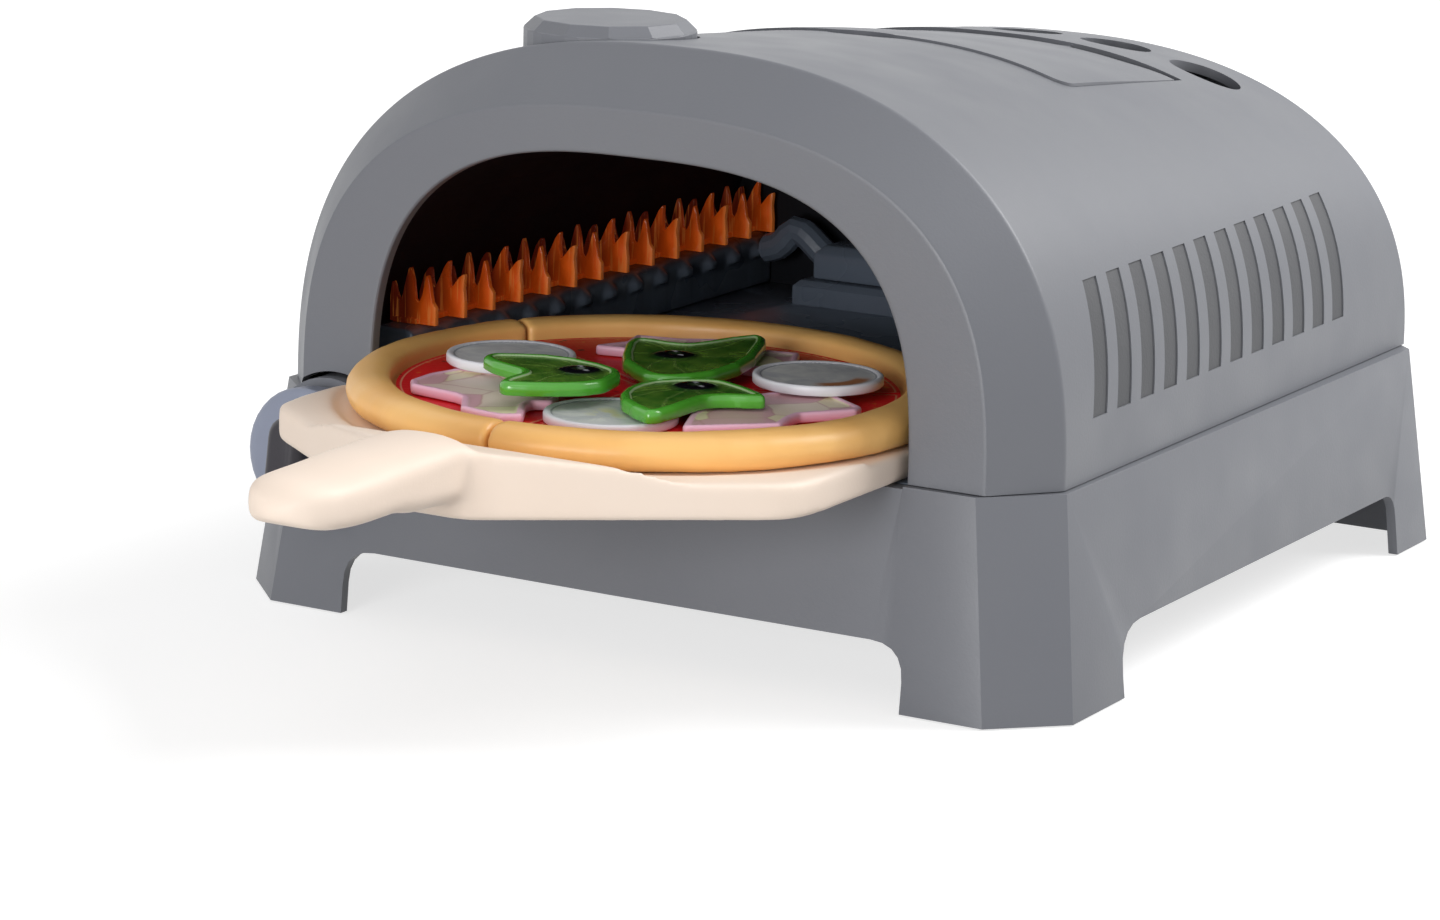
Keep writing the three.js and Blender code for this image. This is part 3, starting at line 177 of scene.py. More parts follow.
def finish_modifier(piece: bpy.types.Object, kind: str, **settings: object) -> bpy.types.Object:
    """Adds one modifier with these settings and applies it.

    Args:
        piece: The mesh object.
        kind: Blender's name for the modifier type.
        **settings: Values of its properties.

    Returns:
        The same piece.
    """
    use(piece)
    modifier = piece.modifiers.new(kind.lower(), kind)
    for name, value in settings.items():
        setattr(modifier, name, value)
    bpy.ops.object.modifier_apply(modifier=modifier.name)
    return piece


def round_edges(
    piece: bpy.types.Object, width: float, degrees: float = 32, shading: float = 40
) -> bpy.types.Object:
    """Rounds a piece's sharper edges.

    Args:
        piece: The mesh object.
        width: Width of the rounding in millimetres.
        degrees: Edges sharper than this are rounded.
        shading: Edges sharper than this stay crisp afterwards.

    Returns:
        The same piece.
    """
    finish_modifier(
        piece, "BEVEL", width=width * MM, segments=2, limit_method="ANGLE",
        angle_limit=math.radians(degrees), use_clamp_overlap=True, miter_outer="MITER_ARC",
    )
    with editing(piece):
        bpy.ops.mesh.remove_doubles(threshold=SLIVER)
        bpy.ops.mesh.dissolve_degenerate(threshold=SLIVER)
    return soften(piece, shading)


def combine(target: bpy.types.Object, tool: bpy.types.Object, how: Cut) -> bpy.types.Object:
    """Cuts, keeps or joins a piece with a closed tool, which is then removed.

    Args:
        target: The closed piece that changes.
        tool: The closed piece that works on it.
        how: The kind of boolean.

    Returns:
        The changed piece.
    """
    finish_modifier(target, "BOOLEAN", operation=how.value, solver="MANIFOLD", object=tool)
    bpy.data.objects.remove(tool)
    return target


def skin(name: str, rows: Sequence[Sequence[Vector]]) -> bpy.types.Object:
    """A grid laid over rows of places, with its doubled edges merged and its open ends closed.

    Args:
        name: Name of the piece.
        rows: Rows of equal length. A last row like the first one closes the skin on itself.

    Returns:
        The piece.
    """
    bpy.ops.object.select_all(action="DESELECT")
    bpy.ops.mesh.primitive_grid_add(
        x_subdivisions=len(rows[0]) - 1, y_subdivisions=len(rows) - 1, size=1
    )
    piece = bpy.context.object
    piece.name = piece.data.name = name
    piece.data.vertices.foreach_set("co", [c for row in rows for p in row for c in p])
    return settle(piece)


def prism(name: str, outline: Outline, axis: Axis, low: float, high: float) -> bpy.types.Object:
    """An outline pushed along one axis.

    Args:
        name: Name of the piece.
        outline: Corners across the axis, as (y, z), (x, z) or (x, y).
        axis: The axis.
        low: Where it starts, in millimetres.
        high: Where it ends.

    Returns:
        The closed piece.
    """
    place = {
        Axis.X: lambda u, v: at(low, u, v),
        Axis.Y: lambda u, v: at(u, low, v),
        Axis.Z: lambda u, v: at(u, v, low),
    }[axis]
    way = {Axis.X: (1, 0, 0), Axis.Y: (0, 1, 0), Axis.Z: (0, 0, 1)}[axis]
    bpy.ops.object.select_all(action="DESELECT")
    bpy.ops.mesh.primitive_circle_add(vertices=len(outline), fill_type="NGON", radius=1)
    piece = bpy.context.object
    piece.name = piece.data.name = name
    piece.data.vertices.foreach_set("co", [c for u, v in outline for c in place(u, v)])
    with editing(piece):
        bpy.ops.mesh.extrude_region_move(
            TRANSFORM_OT_translate={"value": tuple(c * (high - low) * MM for c in way)}
        )
        bpy.ops.mesh.select_all(action="SELECT")
        bpy.ops.mesh.normals_make_consistent(inside=False)
    return piece


def box_outline(left: float, right: float, low: float, high: float) -> Outline:
    """The four corners of an upright box outline."""
    return [(left, low), (right, low), (right, high), (left, high)]


def ring_outline(u: float, v: float, radius: float, steps: int) -> Outline:
    """The corners of a round outline about (u, v)."""
    turns = (2 * math.pi * i / steps for i in range(steps))
    return [(u + radius * math.cos(a), v + radius * math.sin(a)) for a in turns]


def rod(
    name: str, axis: Axis, place: Pair, radius: float, low: float, high: float, steps: int
) -> bpy.types.Object:
    """A round bar along one axis, at a place across it."""
    return prism(name, ring_outline(*place, radius, steps), axis, low, high)


def rounded(corners: Sequence[tuple[float, float, float]], steps: int = 8) -> Outline:
    """An outline whose corners are drawn round.

    Args:
        corners: Corners as (x, y, radius).
        steps: Points along each round corner.

    Returns:
        The outline's points.
    """
    points: Outline = []
    for i, (x, y, radius) in enumerate(corners):
        here = Vector((x, y))
        if radius == 0:
            points.append((x, y))
            continue
        back = Vector(corners[i - 1][:2]) - here
        ahead = Vector(corners[(i + 1) % len(corners)][:2]) - here
        half = back.angle(ahead) / 2
        reach = min(radius / math.tan(half), back.length / 2, ahead.length / 2)
        start = here + back.normalized() * reach
        end = here + ahead.normalized() * reach
        for k in range(steps + 1):
            t = k / steps
            p = start * (1 - t) ** 2 + here * (2 * t * (1 - t)) + end * t**2
            points.append((p.x, p.y))
    return points


def even_outline(outline: Outline, spacing: float) -> np.ndarray:
    """The outline with points at an even spacing, run anticlockwise.

    Args:
        outline: Its corners.
        spacing: Distance between the points in millimetres.

    Returns:
        The points, one a row.
    """
    corners = np.array(outline, float)
    turn = np.roll(corners, -1, axis=0)
    if (corners[:, 0] * turn[:, 1] - corners[:, 1] * turn[:, 0]).sum() < 0:
        corners = corners[::-1]
        turn = np.roll(corners, -1, axis=0)
    lengths = np.linalg.norm(turn - corners, axis=1)
    along = np.concatenate([[0], np.cumsum(lengths)])
    count = max(12, round(along[-1] / spacing))
    wanted = np.linspace(0, along[-1], count, endpoint=False)
    closed = np.vstack([corners, corners[:1]])
    return np.column_stack([np.interp(wanted, along, closed[:, k]) for k in (0, 1)])


def distance_to(points: np.ndarray, line: np.ndarray, closed: bool) -> np.ndarray:
    """Each point's distance to a line of points.

    Args:
        points: Points, one a row.
        line: The line's corners.
        closed: Whether the line runs back to its start.

    Returns:
        The distances.
    """
    starts = line if closed else line[:-1]
    ends = np.roll(line, -1, axis=0) if closed else line[1:]
    best = np.full(len(points), 1e9)
    for a, b in zip(starts, ends):
        d = b - a
        t = np.clip(((points - a) @ d) / max(d @ d, 1e-12), 0, 1)
        best = np.minimum(best, np.linalg.norm(points - a - t[:, None] * d, axis=1))
    return best


def top_points(edge: np.ndarray, inward: np.ndarray, spacing: float) -> np.ndarray:
    """The points of a relief's top: its outline, rings close inside it, then an even field.

    Args:
        edge: The outline's points.
        inward: The way inwards at each of them, one millimetre long.
        spacing: Distance between the field's points.

    Returns:
        The points, one a row.
    """
    sets = [edge]
    for depth in RING_DEPTHS:
        ring = edge + inward * depth
        sets.append(ring[distance_to(ring, edge, True) > depth * 0.93])
    (x0, y0), (x1, y1) = edge.min(0), edge.max(0)
    step = spacing * math.sqrt(3) / 2
    inner = np.array([
        (x + (spacing / 2 if j % 2 else 0), y)
        for j, y in enumerate(np.arange(y0, y1, step))
        for x in np.arange(x0, x1, spacing)
    ])
    inner = inner[winding_inside(inner, edge)]
    sets.append(inner[distance_to(inner, edge, True) > RING_DEPTHS[-1] + spacing * 0.6])
    return np.vstack(sets)


def relief(
    name: str, outline: Outline, low: float, height: Heights, spacing: float = 0.7, foot: float = 0.4
) -> bpy.types.Object:
    """A flat-bottomed piece whose top is a relief that follows the distance from its outline.

    Args:
        name: Name of the piece.
        outline: Its outline seen from above.
        low: Height of its underside.
        height: Gives the top's height from the distances to the outline and the places.
        spacing: Distance between the mesh's points.
        foot: Width of the chamfer at the underside.

    Returns:
        The closed piece, with its distances kept in the attribute "inward".
    """
    edge = even_outline(outline, spacing)
    turn = np.roll(edge, -1, axis=0) - np.roll(edge, 1, axis=0)
    inward = np.column_stack([-turn[:, 1], turn[:, 0]])
    inward /= np.linalg.norm(inward, axis=1)[:, None]
    rim = len(edge)
    places, _, faces, *_ = geometry.delaunay_2d_cdt(
        [Vector(p) for p in top_points(edge, inward, spacing)], [], [list(range(rim))], 1, 1e-7
    )
    top = np.array([tuple(p) for p in places])
    count = len(top)
    depth = distance_to(top, edge, True)
    depth[:rim] = 0
    verts = [at(x, y, z) for (x, y), z in zip(top, height(depth, top))]
    verts += [at(x, y, low + foot) for x, y in edge]
    verts += [at(x, y, low) for x, y in edge + inward * foot]
    polygons = [list(f) for f in faces]
    for i in range(rim):
        j = (i + 1) % rim
        polygons.append([i, count + i, count + j, j])
        polygons.append([count + i, count + rim + i, count + rim + j, count + j])
    polygons.append([count + rim + i for i in range(rim)][::-1])
    mesh = bpy.data.meshes.new(name)
    mesh.from_pydata(verts, [], polygons)
    piece = bpy.data.objects.new(name, mesh)
    bpy.context.scene.collection.objects.link(piece)
    keep_values(piece, "inward", np.concatenate([depth, np.full(2 * rim, -1.0)]))
    with editing(piece):
        bpy.ops.mesh.normals_make_consistent(inside=False)
    return soften(piece, 45)


def winding_inside(points: np.ndarray, edge: np.ndarray) -> np.ndarray:
    """Which of the points lie inside a closed outline.

    Args:
        points: Points, one a row.
        edge: The outline's points.

    Returns:
        True for those inside.
    """
    inside = np.zeros(len(points), bool)
    for a, b in zip(edge, np.roll(edge, -1, axis=0)):
        crosses = (a[1] > points[:, 1]) != (b[1] > points[:, 1])
        x = a[0] + (points[:, 1] - a[1]) * (b[0] - a[0]) / ((b[1] - a[1]) or 1e-12)
        inside ^= crosses & (points[:, 0] < x)
    return inside


def keep_values(piece: bpy.types.Object, name: str, values: np.ndarray) -> None:
    """Keeps one number for each point of a piece, for its material to read."""
    found = piece.data.attributes.new(name, "FLOAT", "POINT")
    found.data.foreach_set("value", values.astype(np.float32))


def places_of(piece: bpy.types.Object) -> np.ndarray:
    """The places of a piece's points.

    Args:
        piece: The piece.

    Returns:
        The places in the drawing's millimetres, one a row.
    """
    flat = np.zeros(len(piece.data.vertices) * 3)
    piece.data.vertices.foreach_get("co", flat)
    return flat.reshape(-1, 3) / MM - (0, ROW_SHIFT, 0)


def set_places(piece: bpy.types.Object, places: np.ndarray) -> None:
    """Puts a piece's points at these places, in the drawing's millimetres."""
    piece.data.vertices.foreach_set("co", [c for p in places for c in at(*p)])


def smooth_step(value: np.ndarray, start: float, end: float) -> np.ndarray:
    """Runs from 0 at start to 1 at end, level at both."""
    t = np.clip((value - start) / (end - start), 0, 1)
    return t * t * (3 - 2 * t)


def copy_of(node: str) -> bpy.types.Object:
    """A merged copy of a frame node's mesh, as a piece of its own with flat faces made whole.

    Args:
        node: The node's name.

    Returns:
        The copy, which doesn't ride on anything yet.
    """
    source = bpy.data.objects[node]
    piece = bpy.data.objects.new(node + "_dressed", source.data.copy())
    bpy.context.scene.collection.objects.link(piece)
    piece.data.materials.clear()
    piece.data.name = piece.name
    with editing(piece):
        bpy.ops.mesh.remove_doubles(threshold=MERGE)
        bpy.ops.mesh.dissolve_limited(angle_limit=math.radians(0.4))
    piece.data.normals_split_custom_set_from_vertices([(0, 0, 0)] * len(piece.data.vertices))
    return piece


def melt(piece: bpy.types.Object, voxel: float, passes: int) -> bpy.types.Object:
    """Gives a piece the soft, moulded form of a casting: an even mesh with its edges run smooth.

    Args:
        piece: The closed piece.
        voxel: Size of the even mesh in millimetres.
        passes: How far the edges run smooth.

    Returns:
        The same piece.
    """
    finish_modifier(piece, "REMESH", mode="VOXEL", voxel_size=voxel * MM)
    finish_modifier(piece, "SMOOTH", factor=0.5, iterations=passes)
    return soften(piece, 180)


# Materials

Colour = tuple[float, float, float, float]


def srgb(red: int, green: int, blue: int) -> Colour:
    """A colour as it is read off a screen, as the shader's own numbers.

    Args:
        red, green, blue: Its channels, up to 255.

    Returns:
        The colour.
    """
    def line(value: int) -> float:
        """One channel, made linear."""
        share = value / 255
        return share / 12.92 if share <= 0.04045 else ((share + 0.055) / 1.055) ** 2.4

    return (line(red), line(green), line(blue), 1.0)


class Graph:
    """A short way to write a node tree."""

    def __init__(self, tree: bpy.types.NodeTree) -> None:
        """Starts on an empty tree."""
        self.tree = tree
        tree.nodes.clear()

    def add(
        self, kind: str, inputs: dict[str | int, object] | None = None, **settings: object
    ) -> bpy.types.Node:
        """Adds one node.

        Args:
            kind: The node's type, without its ShaderNode prefix.
            inputs: Values or sockets for its inputs, by name or number.
            **settings: Values of its properties.

        Returns:
            The node.
        """
        node = self.tree.nodes.new(kind if kind.startswith("Node") else "ShaderNode" + kind)
        for name, value in settings.items():
            setattr(node, name, value)
        for name, value in (inputs or {}).items():
            self.feed(node.inputs[name], value)
        return node

    def feed(self, socket: bpy.types.NodeSocket, value: object) -> None:
        """Links a socket or sets its value.

        Args:
            socket: The input.
            value: A socket to link to it, or a plain value.
        """
        if isinstance(value, bpy.types.NodeSocket):
            self.tree.links.new(value, socket)
        else:
            socket.default_value = value

    def blend(self, share: object, first: object, second: object) -> bpy.types.NodeSocket:
        """Mixes two colours.

        Args:
            share: Share of the second one.
            first: A colour.
            second: Another colour.

        Returns:
            The mixed colour.
        """
        node = self.add("Mix", data_type="RGBA")
        for number, value in ((0, share), (6, first), (7, second)):
            self.feed(node.inputs[number], value)
        return node.outputs[2]

    def ramp(
        self, value: object, low: float, high: float, start: float = 0, end: float = 1
    ) -> bpy.types.NodeSocket:
        """Maps a value from one range to another, and stops at both ends.

        Args:
            value: The value.
            low: Where its range starts.
            high: Where it ends.
            start: What the start becomes.
            end: What the end becomes.

        Returns:
            The mapped value.
        """
        return self.add(
            "MapRange",
            {"Value": value, "From Min": low, "From Max": high, "To Min": start, "To Max": end},
        ).outputs[0]

    def band(self, value: object, rise: Pair, fall: Pair, weight: float) -> bpy.types.NodeSocket:
        """A thin line, drawn where a value lies between two others.

        Args:
            value: The value.
            rise: Where the line starts and is full.
            fall: Where it is still full and ends.
            weight: Its strength.

        Returns:
            The line's share.
        """
        return self.times(self.ramp(value, *rise), self.ramp(value, fall[1], fall[0], 0.0, weight))

    def maths(self, operation: str, first: object, second: object) -> bpy.types.NodeSocket:
        """One step of arithmetic."""
        return self.add("Math", {0: first, 1: second}, operation=operation).outputs[0]

    def times(self, first: object, second: object) -> bpy.types.NodeSocket:
        """The product of two values."""
        return self.maths("MULTIPLY", first, second)

    def noise(
        self, places: object, scale: object, detail: float, roughness: float = 0.5,
        distortion: float = 0.0,
    ) -> bpy.types.Node:
        """A cloudy pattern.

        Args:
            places: Where it is read.
            scale: Its fineness.
            detail: How many finer patterns lie on it.
            roughness: Their strength.
            distortion: How far it is swirled.

        Returns:
            The noise node.
        """
        return self.add("TexNoise", {
            "Vector": places, "Scale": scale, "Detail": detail, "Roughness": roughness,
            "Distortion": distortion,
        })

    def kept(self, name: str) -> bpy.types.NodeSocket:
        """A number kept on the piece's points."""
        return self.add("Attribute", attribute_name=name).outputs["Fac"]

    def places(self) -> bpy.types.NodeSocket:
        """The place on the object, in metres."""
        return self.add("TexCoord").outputs["Object"]


class ShaderGroups:
    """Effects that several materials share, each built once."""

    def __init__(self) -> None:
        """Builds the groups."""
        self.grain = self._grain()
        self.mottle = self._mottle()

    @staticmethod
    def _new(name: str, inputs: dict[str, tuple[str, object]], outputs: dict[str, str]) -> Graph:
        """An empty group with named sockets.

        Args:
            name: Its name.
            inputs: Type and value of each input.
            outputs: Type of each output.

        Returns:
            Its graph.
        """
        tree = bpy.data.node_groups.new(name, "ShaderNodeTree")
        graph = Graph(tree)
        for label, (kind, value) in inputs.items():
            socket = tree.interface.new_socket(label, in_out="INPUT", socket_type="NodeSocket" + kind)
            socket.default_value = value
        for label, kind in outputs.items():
            tree.interface.new_socket(label, in_out="OUTPUT", socket_type="NodeSocket" + kind)
        return graph

    def _grain(self) -> bpy.types.NodeTree:
        """Fine grain of moulded plastic: a bumped normal and a roughness that varies a little.

        Returns:
            The group.
        """
        inputs = {
            "Scale": ("Float", 900.0), "Depth": ("Float", 0.1), "Roughness": ("Float", 0.45),
            "Spread": ("Float", 0.08),
        }
        graph = self._new("moulded_grain", inputs, {"Normal": "Vector", "Roughness": "Float"})
        given = graph.add("NodeGroupInput").outputs
        places = graph.places()
        fine = graph.noise(places, given["Scale"], 3.0, 0.6).outputs["Fac"]
        broad = graph.noise(places, 35.0, 2.0).outputs["Fac"]
        bump = graph.add("Bump", {"Strength": given["Depth"], "Distance": 0.0004, "Height": fine})
        shift = graph.times(graph.ramp(broad, 0.3, 0.7, -1.0, 1.0), given["Spread"])
        rough = graph.maths("ADD", given["Roughness"], shift)
        graph.add("NodeGroupOutput", {"Normal": bump.outputs[0], "Roughness": rough})
        return graph.tree

    def _mottle(self) -> bpy.types.NodeTree:
        """A soft drift between two colours over the surface.

        Returns:
            The group.
        """
        inputs = {
            "Colour": ("Color", (0.5, 0.5, 0.5, 1.0)), "Other": ("Color", (0.4, 0.4, 0.4, 1.0)),
            "Scale": ("Float", 20.0), "Share": ("Float", 0.5),
        }
        graph = self._new("colour_drift", inputs, {"Color": "Color"})
        given = graph.add("NodeGroupInput").outputs
        cloud = graph.noise(graph.places(), given["Scale"], 3.0).outputs["Fac"]
        share = graph.times(graph.ramp(cloud, 0.35, 0.68), given["Share"])
        graph.add("NodeGroupOutput", {"Color": graph.blend(share, given["Colour"], given["Other"])})
        return graph.tree


@dataclass
class Draft:
    """A material whose colour is still being laid on.

    Attributes:
        material: The material.
        graph: Its nodes.
        shader: Its shader node.
        colour: Its colour so far.
    """

    material: bpy.types.Material
    graph: Graph
    shader: bpy.types.Node
    colour: bpy.types.NodeSocket

    def lay(self, share: object, colour: object) -> None:
        """Lays one more colour over what is there, by its share."""
        self.colour = self.graph.blend(share, self.colour, colour)

    def done(self) -> bpy.types.Material:
        """The material with its colour fed to the shader."""
        self.graph.feed(self.shader.inputs["Base Color"], self.colour)
        return self.material


@dataclass(frozen=True)
class Plastic:
    """A moulded plastic with a fine grain and a slight drift of colour.

    Attributes:
        name: Name of the material.
        colour: Its main colour.
        other: The colour that it drifts to.
        roughness: Its gloss.
        grain: Strength of the grain's bump.
        scale: Fineness of the grain.
        specular: Strength of its reflections.
        coat: Weight of a clear gloss on top.
        metallic: Share of metal flake in it.
        glow: Light that it gives off though it is no lamp: a painted glow in place of light shining
            through a clear plastic.
        drift: Share of the second colour.
        drift_scale: Fineness of the drift.
        spread: How much the gloss varies.
        coat_roughness: How dull the clear gloss is.
    """

    name: str
    colour: Colour
    other: Colour
    roughness: float
    grain: float
    scale: float = 900.0
    specular: float = 0.5
    coat: float = 0.0
    metallic: float = 0.0
    glow: float = 0.0
    drift: float = 0.5
    drift_scale: float = 18.0
    spread: float = 0.05
    coat_roughness: float = 0.12

    def start(self, groups: ShaderGroups) -> Draft:
        """Makes the material up to its shader.

        Args:
            groups: The shared effects.

        Returns:
            The material, for a finish to lay more colours on.
        """
        material = bpy.data.materials.new(self.name)
        material.use_nodes = True
        graph = Graph(material.node_tree)
        drift = graph.add("Group", {
            "Colour": self.colour, "Other": self.other, "Scale": self.drift_scale, "Share": self.drift,
        }, node_tree=groups.mottle)
        grain = graph.add("Group", {
            "Scale": self.scale, "Depth": self.grain, "Roughness": self.roughness, "Spread": self.spread,
        }, node_tree=groups.grain)
        shader = graph.add("BsdfPrincipled", {
            "Base Color": drift.outputs["Color"],
            "Roughness": grain.outputs["Roughness"],
            "Normal": grain.outputs["Normal"],
            "Specular IOR Level": self.specular,
            "Coat Weight": self.coat,
            "Coat Roughness": self.coat_roughness,
            "Metallic": self.metallic,
            "Emission Strength": self.glow,
        })
        graph.add("OutputMaterial", {"Surface": shader.outputs[0]})
        return Draft(material, graph, shader, drift.outputs["Color"])

    def make(self, groups: ShaderGroups) -> bpy.types.Material:
        """The finished material."""
        return self.start(groups).material


@dataclass(frozen=True)
class DoughFinish:
    """Baked crust: golden, browner in broad patches.

    Attributes:
        plastic: The plastic under it.
        baked: The browner colour.
    """

    plastic: Plastic
    baked: Colour

    def make(self, groups: ShaderGroups) -> bpy.types.Material:
        """Makes the material.

        Args:
            groups: The shared effects.

        Returns:
            The finished material.
        """
        draft = self.plastic.start(groups)
        patch = draft.graph.noise(draft.graph.places(), 26.0, 4.0).outputs["Fac"]
        draft.lay(draft.graph.ramp(patch, 0.42, 0.72, 0.0, 0.55), self.baked)
        return draft.done()


@dataclass(frozen=True)
class SauceFinish:
    """Tomato sauce: red with orange and dark flecks, and a pale line near its rim.

    Attributes:
        plastic: The plastic under it.
        fleck: Colour of the orange flecks.
        seed: Colour of the dark flecks.
        line: Colour of the pale line.
    """

    plastic: Plastic
    fleck: Colour = srgb(235, 120, 50)
    seed: Colour = srgb(110, 18, 22)
    line: Colour = srgb(240, 190, 150)

    def make(self, groups: ShaderGroups) -> bpy.types.Material:
        """Makes the material.

        Args:
            groups: The shared effects.

        Returns:
            The finished material.
        """
        draft = self.plastic.start(groups)
        graph, places = draft.graph, draft.graph.places()
        cells = graph.add("TexVoronoi", {"Vector": places, "Scale": 240.0})
        near = graph.ramp(cells.outputs["Distance"], 0.32, 0.18)
        chosen = graph.noise(places, 150.0, 1.0).outputs["Fac"]
        draft.lay(graph.times(near, graph.ramp(chosen, 0.55, 0.6)), self.fleck)
        draft.lay(graph.times(near, graph.ramp(chosen, 0.4, 0.36)), self.seed)
        draft.lay(graph.band(graph.kept("inward"), (1.0, 1.25), (1.5, 1.75), 0.7), self.line)
        return draft.done()


@dataclass(frozen=True)
class LeafFinish:
    """A salad leaf: a bright rim, a thin pale line, then a printed leaf with veins and an olive, with
    painted shade round the olive and painted highlights on it.

    Attributes:
        plastic: The plastic under it.
        deep: Darker green of the print.
        light: Lighter green of the print.
        vein: Colour of the veins.
        shade: Shade round the olive.
        olive: Colour of the olive.
        hole: Colour of its hole.
        gleam: Colour of the painted highlights on the olive.
        line: Colour of the pale line.
    """

    plastic: Plastic
    deep: Colour = srgb(52, 112, 34)
    light: Colour = srgb(126, 170, 64)
    vein: Colour = srgb(158, 190, 104)
    shade: Colour = srgb(20, 48, 24)
    olive: Colour = srgb(14, 12, 18)
    hole: Colour = srgb(30, 46, 26)
    gleam: Colour = srgb(226, 228, 238)
    line: Colour = srgb(200, 224, 176)

    def make(self, groups: ShaderGroups) -> bpy.types.Material:
        """Makes the material.

        Args:
            groups: The shared effects.

        Returns:
            The finished material.
        """
        draft = self.plastic.start(groups)
        graph = draft.graph
        inward, olive = graph.kept("inward"), graph.kept("olive")
        blotch = graph.noise(graph.places(), 110.0, 5.0, 0.65).outputs["Fac"]
        leaf = graph.blend(graph.ramp(blotch, 0.35, 0.68), self.deep, self.light)
        # Veins, painted shade round the olive, the olive, its hole and painted highlights on it.
        for share, colour in (
            (graph.ramp(graph.kept("vein"), 0.1, 0.7, 0.4, 0.0), self.vein),
            (graph.ramp(olive, 8.8, 6.4, 0.0, 0.8), self.shade),
            (graph.ramp(olive, 6.3, 5.7), self.olive),
            (graph.ramp(olive, 2.5, 2.0), self.hole),
            (graph.kept("gleam"), self.gleam),
        ):
            leaf = graph.blend(share, leaf, colour)
        draft.lay(graph.ramp(inward, 2.9, 3.1), leaf)
        draft.lay(graph.band(inward, (2.5, 2.7), (3.0, 3.25), 0.8), self.line)
        return draft.done()


@dataclass(frozen=True)
class HamFinish:
    """A slice of ham: a pink rim round a print of pale patches with pink lines between them.

    Attributes:
        plastic: The plastic under it.
        pale: Colour of most patches.
        cream: Colour of the yellower patches.
        pink: Colour of the pinker patches.
        border: Colour of the lines between them.
    """

    plastic: Plastic
    pale: Colour = srgb(244, 220, 208)
    cream: Colour = srgb(244, 230, 194)
    pink: Colour = srgb(224, 168, 184)
    border: Colour = srgb(206, 158, 152)

    def make(self, groups: ShaderGroups) -> bpy.types.Material:
        """Makes the material.

        Args:
            groups: The shared effects.

        Returns:
            The finished material.
        """
        draft = self.plastic.start(groups)
        graph, places = draft.graph, draft.graph.places()
        waver = graph.noise(places, 60.0, 2.0).outputs["Color"]
        shift = graph.add("VectorMath", {0: waver, 3: 0.006}, operation="SCALE").outputs[0]
        bent = graph.add("VectorMath", {0: places, 1: shift}, operation="ADD").outputs[0]
        cells = {"Vector": bent, "Scale": 56.0}
        patch = graph.add("TexVoronoi", cells).outputs["Color"]
        border = graph.add("TexVoronoi", cells, feature="DISTANCE_TO_EDGE").outputs["Distance"]
        tone = graph.add("SeparateColor", {"Color": patch}).outputs
        meat = graph.blend(graph.ramp(tone[0], 0.3, 0.7), self.pale, self.cream)
        meat = graph.blend(graph.ramp(tone[1], 0.66, 0.7, 0.0, 0.85), meat, self.pink)
        meat = graph.blend(graph.ramp(border, 0.03, 0.01, 0.0, 0.6), meat, self.border)
        draft.lay(graph.ramp(graph.kept("inward"), 1.9, 2.2), meat)
        return draft.done()


@dataclass(frozen=True)
class DiscFinish:
    """A cheese disc: a white rim, a thin grey line and a pale veined print.

    Attributes:
        plastic: The plastic under it.
        streak: Strength of the toasted streak.
        heart: Strength of the yellow middle.
        dull: Darker tone of the print.
        bright: Lighter tone of the print.
        yellow: Colour of the middle.
        toasted: Colour of the streak.
        line: Colour of the thin line.
    """

    plastic: Plastic
    streak: float = 0.0
    heart: float = 0.0
    dull: Colour = srgb(204, 206, 210)
    bright: Colour = srgb(238, 239, 236)
    yellow: Colour = srgb(222, 216, 150)
    toasted: Colour = srgb(190, 112, 40)
    line: Colour = srgb(138, 140, 150)

    def make(self, groups: ShaderGroups) -> bpy.types.Material:
        """Makes the material.

        Args:
            groups: The shared effects.

        Returns:
            The finished material.
        """
        draft = self.plastic.start(groups)
        graph = draft.graph
        inward = graph.kept("inward")
        cloud = graph.noise(graph.places(), 90.0, 6.0, 0.6, 1.2).outputs["Fac"]
        curd = graph.blend(graph.ramp(cloud, 0.38, 0.66), self.dull, self.bright)
        middle = graph.times(graph.ramp(inward, 11.0, 17.0), graph.ramp(cloud, 0.45, 0.6))
        curd = graph.blend(graph.times(middle, self.heart), curd, self.yellow)
        curd = graph.blend(graph.times(graph.kept("streak"), self.streak), curd, self.toasted)
        draft.lay(graph.ramp(inward, 2.2, 2.45), curd)
        draft.lay(graph.band(inward, (2.0, 2.2), (2.5, 2.7), 0.75), self.line)
        return draft.done()


